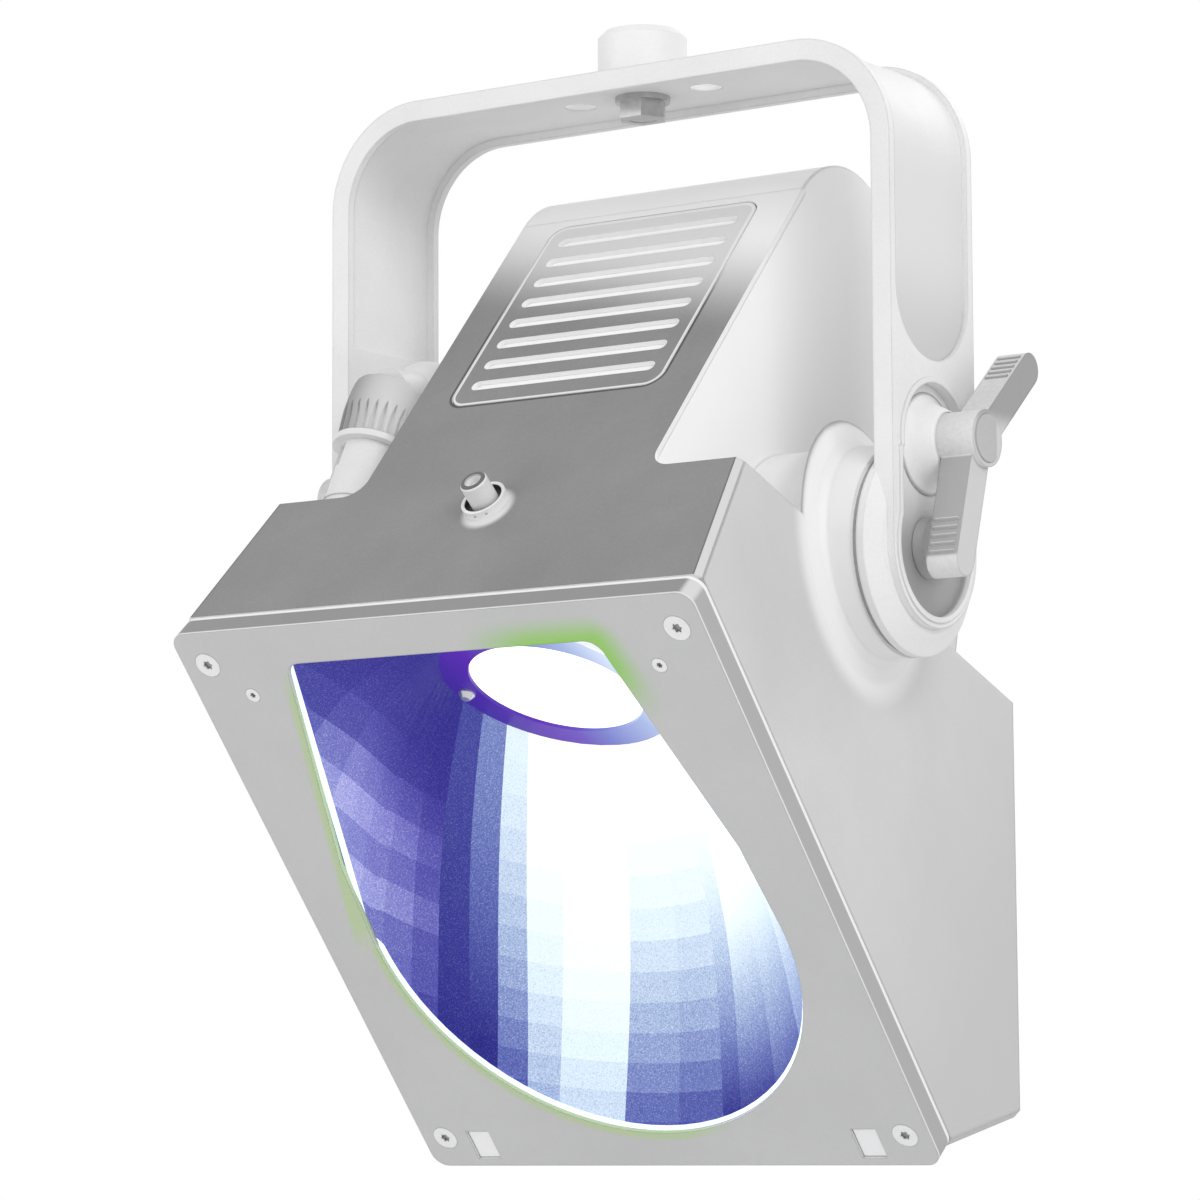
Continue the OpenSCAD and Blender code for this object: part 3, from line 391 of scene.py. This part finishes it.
def opening_glow(n, x, z):
    """Green glow on the edge of the opening, faint at the left and strong at the right."""
    below, beside, low_from = (ROUND_R + 4.3, ROUND_R + 0.9), (5.0, 1.8), (-72, -92)
    side_from, side_end, faint_end = (-92, -72), (62, 40), (45, 5)
    reach, right_from, high_from = (15, 0), (8, 50), (20, 52)
    ring = n.radius(n.along([(z, 1)], -ROUND_Z), x)
    low = n.times(n.smooth(ring, *below), n.smooth(z, *low_from))
    left = n.along([(x, -SIDE_NX), (z, SIDE_NZ)], -SIDE_OFF)
    side = n.times(n.smooth(left, *beside), n.smooth(z, *side_from), n.smooth(z, *side_end))
    faint = n.times(n.math("MAXIMUM", low, side), n.smooth(x, *faint_end))
    n.retint(n.times(faint, 0.85), rgb(190, 212, 160))
    top = n.math("MAXIMUM", n.along([(z, 1)], 1.5 - OPEN_TOP), 0.0)
    right = n.math("MAXIMUM", n.along([(x, SIDE_NX), (z, SIDE_NZ)], -SIDE_OFF), 0.0)
    near = n.smooth(n.radius(top, right), *reach)
    strong = n.times(near, n.smooth(x, *right_from), n.smooth(z, *high_from))
    n.retint(strong, rgb(156, 212, 106))


def yoke_material():
    """Pale casting with painted shade: its recess and trough floors read darker than their
    rims.
    """
    arm_face, rim_step, rim_side, floor_end = 144.8, (0.4, 2.5), (30, 28.6), (5.2, 4.6)
    recess_edge, above_recess, trough_top = (29.6, 29.0), (8, 14), (190, 150)
    trough_from, trough_low, recess_low = (73, 76), (130, 80), (34, -6)
    n = grain_metal("cast_pale", rgb(230), rgb(240), rough=0.55, round_edge=0.0012)
    x, y, z = n.split(n.coord())
    depth = n.along([(n.size(x), -MM)], arm_face)
    high = n.along([(z, MM)], TOP * MM)
    across = n.size(n.times(y, MM))
    floor = n.times(n.smooth(depth, *rim_step), n.smooth(across, *rim_side))
    in_recess = n.smooth(n.radius(across, high), *recess_edge)
    pocket = n.math("MAXIMUM", in_recess, n.smooth(high, *above_recess))
    shade = n.times(floor, pocket, n.smooth(depth, *floor_end), n.smooth(high, *trough_top))
    trough = n.times(shade, n.smooth(high, *trough_from))
    # Painted shade on the trough and recess floors, darker low down.
    n.retint(trough, rgb(224))
    n.retint(n.times(trough, n.smooth(high, *trough_low)), rgb(206))
    n.retint(n.times(shade, n.smooth(high, *recess_low)), rgb(172))
    return n.mat


def foil_material():
    """Lit foil: the glow of each facet, with specks where it is half bright."""
    speck_size, speck_gain, speck_most, speck_least = 1500, 2.4, 3.2, 0.06
    n = Nodes("reflector_foil")
    a = n.new("ShaderNodeAttribute")
    a.attribute_name = "glow"
    glow = a.outputs["Color"]
    speck = n.times(n.math("SUBTRACT", n.noise(speck_size, 2, 0.8), 0.5), speck_gain)
    sep = n.new("ShaderNodeSeparateColor")
    n.link(glow, sep.inputs[0])
    green = sep.outputs[1]
    half_bright = n.times(green, n.math("SUBTRACT", 1.0, green))
    lift = n.times(speck, n.along([(half_bright, speck_most)], speck_least))
    white = n.mix(n.math("MAXIMUM", lift, 0.0), glow, (1.0, 1.0, 1.0))
    darker = n.math("MULTIPLY", n.math("MINIMUM", lift, 0.0), -1.0, clamp=True)
    n.lit(n.mix(darker, white, rgb(30, 30, 126)))
    return n.mat


def lever_material():
    """Levers: the front faces of their wings are painted darker as painted shade, hub and
    tips are not.
    """
    hub_end, tip_from, upper_wing = (12.3, 13.0), (56, 54), (4, 14)
    front_way, front_match, outer_match = (0.1, -0.98, -0.15), (0.55, 0.9), (0.85, 0.95)
    n = grain_metal("lever_pale", rgb(214), rgb(234), rough=0.6, grain=600, bump=0.2,
                    round_edge=0.0012)
    x, y, z = n.split(n.coord())
    high = n.along([(z, MM)], -LEVER_Z)
    r = n.radius(n.times(y, MM), high)
    wing = n.times(n.smooth(r, *hub_end), n.smooth(r, *tip_from))
    # Painted shade on the wings' front faces, found by the way they face.
    front = n.smooth(n.facing(front_way), *front_match)
    n.retint(n.times(front, wing, 0.85), rgb(162))
    # Painted shade on the outer faces, darkest on the upper wing.
    outer = n.smooth(n.size(n.facing((1, 0, 0))), *outer_match)
    n.retint(outer, rgb(208))
    n.retint(n.times(outer, n.smooth(high, *upper_wing)), rgb(158))
    return n.mat


def plate_axes(n):
    """Distance from the stub axis and height above the cover plate, in millimetres."""
    x, y, z = n.head()
    r = n.radius(x, up_plate(n, y, z, STUB_AT))
    return r, n.along([(y, -PLATE_SIN), (z, PLATE_COS)], -PLATE_HIGH)


def stub_material():
    """White stub with a dark groove round the middle of its end."""
    ring_in, ring_out, end_from = (3.5, 3.9), (5.7, 5.4), (12.3, 12.8)
    n = grain_metal("stub_white", rgb(232), rgb(246), rough=0.45, round_edge=0.0004)
    r, h = plate_axes(n)
    ring = n.times(n.smooth(r, *ring_in), n.smooth(r, *ring_out))
    n.retint(n.times(ring, n.smooth(h, *end_from)), rgb(96))
    return n.mat


def collar_material():
    """Pale collar round the stub, with painted shade inside its bore."""
    bore_edge, bore_top = (8.9, 8.6), (3.5, 3.1)
    n = grain_metal("collar_pale", rgb(232), rgb(246), rough=0.45, round_edge=0.0003)
    r, h = plate_axes(n)
    # Painted shade in the bore of the collar.
    n.retint(n.times(n.smooth(r, *bore_edge), n.smooth(h, *bore_top)), rgb(52))
    return n.mat


def screw_material():
    """Pale screw head with painted shade in its drive recess."""
    recess = (EDGE_Y - 1.1, EDGE_Y - 0.6)
    n = grain_metal("screw_pale", rgb(240), rgb(248), rough=0.4, round_edge=0.0003)
    x, y, z = n.head()
    # Painted shade: darker behind the front of the head, in the drive recess.
    n.retint(n.smooth(y, *recess), rgb(172))
    return n.mat


def lip_material():
    """Lip of the window, painted with the glow of the lit lamp: violet on the left, deep
    blue below, pale on the right.
    """
    per_mm = 0.011
    n = Nodes("lip_violet")
    x, y, z = n.head()
    # Painted glow: the lip shines by emission, though it is no lamp.
    n.lit(n.ramp(n.along([(x, per_mm)], 0.5),
                 [(0.0, rgb(62, 36, 150)), (0.22, rgb(84, 34, 168)),
                  (0.36, rgb(92, 62, 176)), (0.5, rgb(104, 112, 190)),
                  (0.78, rgb(158, 174, 216)), (1.0, rgb(220, 232, 246))]))
    return n.mat


def ring_material():
    """Clamping ring: dark grey, with painted light that pales it towards the housing."""
    painted_light_from = (-114, -88)
    n = grain_metal("ring_grey", rgb(116), rgb(124), rough=0.45, grain=400,
                    round_edge=0.0003)
    x, y, z = n.head()
    # Painted light: the side of the ring towards the housing is painted paler.
    n.retint(n.smooth(x, *painted_light_from), rgb(212))
    return n.mat


def lens_material():
    n = Nodes("lens_glass")
    n.set(Base_Color=(1, 1, 1, 1), Roughness=0.4, Emission_Color=(1, 1, 1, 1),
          Emission_Strength=1.0)
    return n.mat


# Plain coated or bare surfaces: darkest tone, palest tone and the rest of the look.
PLAIN = {
    "foot_pale": (236, 244, dict(rough=0.5, round_edge=0.001)),
    "steel": (170, 205, dict(rough=0.35, metallic=1.0, grain=300)),
    "bright_steel": (205, 235, dict(rough=0.3, metallic=0.8, grain=300, round_edge=0.0003)),
    "cap_pale": (180, 192, dict(rough=0.5, round_edge=0.0005)),
    "bronze": ((180, 150, 95), (205, 175, 115), dict(rough=0.4, metallic=1.0)),
    "friction_pad": (150, 175, dict(rough=0.9, grain=500)),
    "seal": (246, 252, dict(rough=0.7)),
    "white_plastic": (226, 236, dict(rough=0.4, round_edge=0.0005)),
    "sink_alu": (180, 205, dict(rough=0.4, metallic=1.0)),
    "black_plastic": (40, 58, dict(rough=0.5)),
    "circuit": ((30, 100, 66), (42, 120, 80), dict(rough=0.4)),
}
SHADED = {
    "lip_violet": lip_material, "screw_pale": screw_material, "stub_white": stub_material,
    "collar_pale": collar_material, "cast_pale": yoke_material,
    "lever_pale": lever_material, "body_pale": body_material,
    "bezel_grey": bezel_material, "cover_grey": cover_material,
    "ring_grey": ring_material, "reflector_foil": foil_material,
    "lens_glass": lens_material,
}
# Nodes that wear another material than that of their slot.
SPECIAL = {"window_ring": "lip_violet", "bezel_screws": "screw_pale",
           "retainer_screws": "screw_pale", "plunger_pin": "stub_white",
           "plunger_collar": "collar_pale"}


def make_materials():
    made = {name: build() for name, build in SHADED.items()}
    for name, (low, high, look) in PLAIN.items():
        tones = [rgb(*c) if isinstance(c, tuple) else rgb(c) for c in (low, high)]
        made[name] = grain_metal(name, *tones, **look).mat
    return made


def dress(materials):
    slots = {s["node"]: s["material_slot"] for s in frame["record"]["subparts"]}
    for name, obj in nodes.items():
        mat = materials[SPECIAL.get(name, slots[name])]
        if not obj.data.materials:
            obj.data.materials.append(mat)
        for i in range(len(obj.material_slots)):
            obj.material_slots[i].link = "OBJECT"
            obj.material_slots[i].material = mat


def make_floor():
    me = bpy.data.meshes.new("floor")
    s = FLOOR_HALF
    me.from_pydata([(-s, -s, FLOOR_Z), (s, -s, FLOOR_Z), (s, s, FLOOR_Z),
                    (-s, s, FLOOR_Z)], [], [(0, 1, 2, 3)])
    floor = bpy.data.objects.new("floor", me)
    scene.collection.objects.link(floor)
    n = Nodes("floor_pale")
    n.set(Base_Color=(0.86, 0.86, 0.86, 1), Roughness=0.9)
    floor.data.materials.append(n.mat)


def make_world():
    """White surroundings that light the part a little less than they look."""
    world = bpy.data.worlds.new("world")
    scene.world = world
    world.use_nodes = True
    t = world.node_tree
    bg = t.nodes["Background"]
    path = t.nodes.new("ShaderNodeLightPath")
    seen = path.outputs["Is Camera Ray"]
    for ray in ("Is Glossy Ray", "Is Transmission Ray"):
        either = t.nodes.new("ShaderNodeMath")
        either.operation = "MAXIMUM"
        t.links.new(seen, either.inputs[0])
        t.links.new(path.outputs[ray], either.inputs[1])
        seen = either.outputs[0]
    level = t.nodes.new("ShaderNodeMapRange")
    level.inputs["To Min"].default_value = AMBIENT
    level.inputs["To Max"].default_value = 1.0
    t.links.new(seen, level.inputs["Value"])
    bg.inputs["Color"].default_value = (1, 1, 1, 1)
    t.links.new(level.outputs["Result"], bg.inputs["Strength"])


def make_lamp(name, at, size, power):
    d = bpy.data.lights.new(name, "AREA")
    d.shape = "DISK"
    d.size = size
    d.energy = power
    o = bpy.data.objects.new(name, d)
    o.location = at
    o.rotation_euler = (Vector(LAMP_AIM) - Vector(at)).to_track_quat("-Z", "Y").to_euler()
    scene.collection.objects.link(o)


def stage():
    make_floor()
    make_world()
    for lamp in LAMPS:
        make_lamp(*lamp)


def mesh_object(name, verts, faces, mat, smooth=False):
    me = bpy.data.meshes.new(name)
    me.from_pydata(verts, [], faces)
    me.update()
    bm = bmesh.new()
    bm.from_mesh(me)
    bmesh.ops.recalc_face_normals(bm, faces=bm.faces)
    bm.to_mesh(me)
    bm.free()
    me.polygons.foreach_set("use_smooth", [smooth] * len(me.polygons))
    o = bpy.data.objects.new(name, me)
    me.materials.append(mat)
    scene.collection.objects.link(o)
    return o


def ring_faces(rings, around):
    """Faces of a closed band of rings, each with the same number of points."""
    return [(k * around + a, k * around + b, m * around + b, m * around + a)
            for k in range(rings) for m in [(k + 1) % rings]
            for a in range(around) for b in [(a + 1) % around]]


# Reflector, rebuilt as flat facets between the opening and the lip of the window.
def rim_r(s, c):
    """Radius of the opening about its centre, towards the sine and cosine given."""
    nx, nz = SIDE_HIGH[1] - SIDE_LOW[1], SIDE_LOW[0] - SIDE_HIGH[0]
    den = nx * abs(s) + nz * c
    side = (nx * SIDE_LOW[0] + nz * SIDE_LOW[1] - nz * OPEN_C) / den if den > 1 else 9999
    dz = OPEN_C - ROUND_Z
    b = dz * c
    circle = -b + math.sqrt(b * b - dz * dz + ROUND_R ** 2)
    top = (OPEN_TOP - OPEN_C) / c if c > 0.01 else 9999
    low = OPEN_LOW / -c if c < -0.01 else 9999
    return max(circle, min(top, side, low))


def bowl(rim_deg, lip_deg, t, inset=0.0):
    """Point on the reflector: t is 0 at the opening and 1 at the window."""
    a, b = math.radians(rim_deg), math.radians(lip_deg)
    r = rim_r(math.sin(a), math.cos(a)) - inset
    p = Vector((r * math.sin(a), -FACE_Y + RIM_BACK, OPEN_C + r * math.cos(a)))
    across = Vector((0, -math.sin(TIP), math.cos(TIP)))
    sideways = Vector(((LIP_R - inset) * math.sin(b), 0, 0))
    w = WINDOW + AXIS + sideways + across * (LIP_R * math.cos(b))
    m = a + (b - a) * t
    out = (BULGE - inset) * math.sin(math.pi * t)
    return p + (w - p) * t + Vector((math.sin(m), BULGE_BACK, math.cos(m))) * out


# Colours of the lit foil from dark to bright.
TONES = [(0.0, (28, 28, 124)), (0.3, (84, 98, 172)), (0.6, (160, 182, 218)),
         (0.82, (226, 242, 252)), (1.0, (255, 255, 255))]
VIOLET_DARK, VIOLET_PALE = (41, 33, 134), (163, 149, 238)


def blend(ca, cb, k):
    return [u + (v - u) * k for u, v in zip(ca, cb)]


def tone(level, violet=0.0):
    level = min(max(level, 0.0), 1.0)
    for (a, ca), (b, cb) in zip(TONES, TONES[1:]):
        if level <= b:
            c = blend(ca, cb, (level - a) / (b - a))
            break
    return (*rgb(*blend(c, blend(VIOLET_DARK, VIOLET_PALE, level), violet)), 1.0)


# Facet strips: angle at the opening, angle at the window, brightness near the
# window, loss of brightness towards the opening, and how violet the strip is.
STRIPS = [
    (0, 0, 0.12, 0.06, 0.6), (16, 14, 0.7, 0.1, 0.8), (31.8, 28, 0.95, 0.05, 0.2),
    (48, 44, 1.0, 0.1, 0), (66, 60, 1.0, 0.1, 0), (86, 76, 1.0, 0.15, 0),
    (104, 92, 1.05, 0.35, 0), (120, 104, 1.1, 0.7, 0), (136, 113, 1.15, 0.95, 0),
    (150, 121, 1.2, 1.12, 0), (162, 130, 1.0, 0.98, 0), (167, 143, 1.0, 0.84, 0),
    (178, 160, 1.0, 0.78, 0), (190, 180, 1.05, 0.36, 0), (204, 209.5, 1.0, 0.44, 0),
    (211, 226.5, 0.82, 0.62, 0), (218, 238, 0.4, 0.44, 0), (225, 252, 0.16, 0.14, 0.2)]
# The left cheek turns away from the beam: its rows catch the light by turns. Each
# strip has its two angles and its brightest tone.
CHEEK = [(234, 266, 0.34), (243, 279, 0.48), (256, 292, 0.56), (270, 304, 0.62),
         (284, 314, 0.66), (298, 324, 0.56), (314, 334, 0.4), (328.2, 342, 0.1),
         (344, 352, 0.06)]
CHEEK_ROWS = (0.2, 0.3, 0.45, 0.8, 1.1, 0.85, 1.15, 0.8, 0.75, 0.5, 0.35, 0.3, 0.3, 0.3)
# Strips whose brightness goes in steps, row by row, and the length of a row.
STEPPED = range(11, 16)
ROW_LENGTH = 11.0
# The foil lies just inside the solid reflector, with its back behind it.
FOIL_FRONT, FOIL_BACK = 0.25, -1.2
WALK_STEPS, LAST_ROW = 80, 1.5
# How the brightness falls along a strip, and where the cheek starts to catch light.
FALL_OFF, CHEEK_START, CHEEK_RISE = 1.8, 0.95, 0.6


def axial(p):
    """Distance of a point in front of the window, along the axis of the lamp."""
    return (p - WINDOW).dot(AXIS)


def rows_along(rim, lip):
    """Places on one edge of a strip where the rows of facets meet it."""
    steps = [1 - i / WALK_STEPS for i in range(WALK_STEPS + 1)]
    walk = [(t, axial(bowl(rim, lip, t, FOIL_FRONT))) for t in steps]
    out, want = [1.0], ROW_LENGTH
    for (t0, u0), (t1, u1) in zip(walk, walk[1:]):
        while u1 >= want and want < walk[-1][1] - LAST_ROW:
            k = min(max((want - u0) / (u1 - u0), 0.0), 1.0) if u1 > u0 else 0.0
            out.append(t0 + (t1 - t0) * k)
            want += ROW_LENGTH
    return out + [0.0]


def facet_tone(i, row, t, reach):
    """Colour of a corner of a facet: strip, row, place t and length of the strip."""
    if i < len(STRIPS):
        base, drop, violet = STRIPS[i][2:]
        if i in STEPPED:
            t = max(1 - (row + 0.5) * ROW_LENGTH / reach, 0.0)
        return tone(base - drop * (1 - t) ** FALL_OFF, violet)
    peak = CHEEK[i - len(STRIPS)][2]
    fade = min(max((CHEEK_START - t) / CHEEK_RISE, 0.0), 1.0)
    soft = fade * fade * (3 - 2 * fade)
    return tone(peak * CHEEK_ROWS[row] * soft, 0.5 + 0.5 * t)


def make_reflector():
    strips = [e[:2] for e in STRIPS + CHEEK]
    edges = []
    for i, (rim, lip) in enumerate(strips):
        rim2, lip2 = strips[i + 1] if i + 1 < len(strips) else (360, 360)
        for f in (0.0, 1 / 3, 2 / 3):
            edges.append((i, rim + (rim2 - rim) * f, lip + (lip2 - lip) * f))
    rows = [rows_along(rim, lip) for _, rim, lip in edges]
    first, places = [], []
    for e, row in enumerate(rows):
        first.append(len(places))
        places += [(e, t) for t in row]
    count = len(places)
    verts = [HEAD @ (bowl(edges[e][1], edges[e][2], t, inset) / MM)
             for inset in (FOIL_FRONT, FOIL_BACK) for e, t in places]
    longest = max(len(r) for r in rows)

    def spot(e, k):
        e %= len(edges)
        return first[e] + min(k, len(rows[e]) - 1)

    faces, made = [], []
    for k in range(longest - 1):
        for e in range(len(edges)):
            ring = []
            for v in (spot(e, k), spot(e + 1, k), spot(e + 1, k + 1), spot(e, k + 1)):
                if v not in ring:
                    ring.append(v)
            if len(ring) > 2:
                faces += [tuple(ring), tuple(v + count for v in reversed(ring))]
                made += [(edges[e][0], k)] * 2
    for e in range(len(edges)):
        for k in (0, longest):
            a, b = spot(e, k), spot(e + 1, k)
            faces.append((a, b, b + count, a + count))
            made.append(None)
    reach = [axial(bowl(rim, lip, 0.0)) for rim, lip in strips]
    o = mesh_object("reflector_facets", verts, faces, mats["reflector_foil"])
    attr = o.data.color_attributes.new("glow", "FLOAT_COLOR", "CORNER")
    # Faces keep their order, so each takes the colours made for it.
    for poly, face in zip(o.data.polygons, made):
        for li in poly.loop_indices:
            t = places[o.data.loops[li].vertex_index % count][1]
            attr.data[li].color = (facet_tone(*face, t, reach[face[0]]) if face
                                   else tone(0.5))
    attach(o, "head")
    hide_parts("reflector")


def make_lip():
    """Rolled bead on the edge of the reflector, bright where the beam catches it."""
    inwards, deep, wide, sides, step = 0.9, 1.1, 1.5, 8, 4
    path = [bowl(a, a, 0.0, inwards) for a in range(0, 360, step)]
    back = Vector((0, 1, 0))
    verts = []
    for i, p in enumerate(path):
        run = (path[(i + 1) % len(path)] - path[i - 1]).normalized()
        out = run.cross(back).normalized()
        for s in range(sides):
            w = s / sides * 2 * math.pi
            verts.append(HEAD @ ((p - back * inwards + back * math.cos(w) * deep
                                  + out * math.sin(w) * wide) / MM))
    n = Nodes("lip_glow")
    n.set(Base_Color=(*rgb(226, 238, 250), 1), Roughness=0.4,
          Emission_Color=(*rgb(222, 236, 250), 1), Emission_Strength=0.75)
    o = mesh_object("reflector_bead", verts, ring_faces(len(path), sides), n.mat, True)
    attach(o, "head")


def rounded_box(name, lo, hi, bevel, mat):
    """Box with rounded edges, built in the head frame in millimetres."""
    bm = bmesh.new()
    vs = [bm.verts.new((x, y, z)) for x in (lo[0], hi[0]) for y in (lo[1], hi[1])
          for z in (lo[2], hi[2])]
    for f in ((0, 1, 3, 2), (4, 6, 7, 5), (0, 4, 5, 1), (2, 3, 7, 6), (0, 2, 6, 4),
              (1, 5, 7, 3)):
        bm.faces.new([vs[i] for i in f])
    bmesh.ops.bevel(bm, geom=list(bm.edges), offset=bevel, segments=2, affect="EDGES")
    for v in bm.verts:
        v.co = HEAD @ (v.co / MM)
    bmesh.ops.recalc_face_normals(bm, faces=bm.faces)
    me = bpy.data.meshes.new(name)
    bm.to_mesh(me)
    bm.free()
    me.materials.append(mat)
    o = bpy.data.objects.new(name, me)
    scene.collection.objects.link(o)
    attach(o, "head")
    return o


def make_slot_blanks():
    """Pale blanks in the two slots at the lower corners of the bezel."""
    across, half, low, high = 99, 5.8, -204.8, -189.6
    front, back, round_edge = -FACE_Y + 0.8, -FACE_Y + 2.3, 0.4
    for side, name in ((-1, "left"), (1, "right")):
        o = rounded_box("slot_blank_" + name, (side * across - half, front, low),
                        (side * across + half, back, high), round_edge, mats["seal"])


def flute(a, h):
    """Depth of the flutes at step a round the ring and height h: they end in points."""
    width = min(1.0, (FLUTE_TIP - h) / FLUTE_RUN) * FLUTE_WIDE
    half = FLUTE_STEPS // 2
    off = abs((a + half) % FLUTE_STEPS - half)
    return FLUTE_DEEP * max(0.0, 1 - off / width) if width > 0.2 else 0.0


def make_clamp_ring():
    """Clamping ring of the connector, with flutes that run out to points."""
    outer = [(0.0, 16.0), (0.5, 16.5), (3, 16.5), (6, 16.5), (9, 16.5), (11, 16.5),
             (13, 16.5), (15, 16.4), (19, 16.0), (23, 15.4), (26, 14.8), (27.8, 14.2),
             (28.6, 13.6)]
    inner = [(28.4, 13.2), (24.15, 13.2), (24.15, 10.7), (0.0, 10.7)]
    around = FLUTES * FLUTE_STEPS
    verts = []
    for i, (h, r) in enumerate(outer + inner):
        for a in range(around):
            deep = flute(a, h) if i < len(outer) else 0.0
            turn = 2 * math.pi * a / around
            at = Vector(((r - deep) * math.cos(turn), (r - deep) * math.sin(turn),
                         RING_BASE + h))
            verts.append(PLUG @ (at / MM))
    o = mesh_object("clamp_ring_fluted", verts,
                    ring_faces(len(outer + inner), around), mats["ring_grey"])
    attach(o, "clamp_ring")
    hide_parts("plug_ring")


def make_hub_flares():
    """Flared base of each lever hub, running out onto the floor of its recess."""
    outer = [(21.8, 141.1), (20.0, 141.7), (18.4, 142.7), (17.1, 144.2), (16.0, 146.2),
             (14.9, 148.6), (13.6, 151.0), (12.7, 152.6)]
    inner = [(12.3, 152.6), (15.7, 143.8), (15.7, 141.1)]
    around = 96
    faces = ring_faces(len(outer + inner), around)
    for side, name in ((1, "right"), (-1, "left")):
        verts = []
        for r, x in outer + inner:
            for a in range(around):
                turn = 2 * math.pi * a / around
                at = Vector((side * x, r * math.cos(turn), r * math.sin(turn) + LEVER_Z))
                verts.append(at / MM)
        o = mesh_object("hub_flare_" + name, verts, faces, mats["foot_pale"], True)
        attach(o, "lever_" + name[0])
        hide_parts("lever_flange_" + name)


make_camera()
mats = make_materials()
dress(mats)
make_reflector()
make_lip()
make_slot_blanks()
make_clamp_ring()
make_hub_flares()
stage()
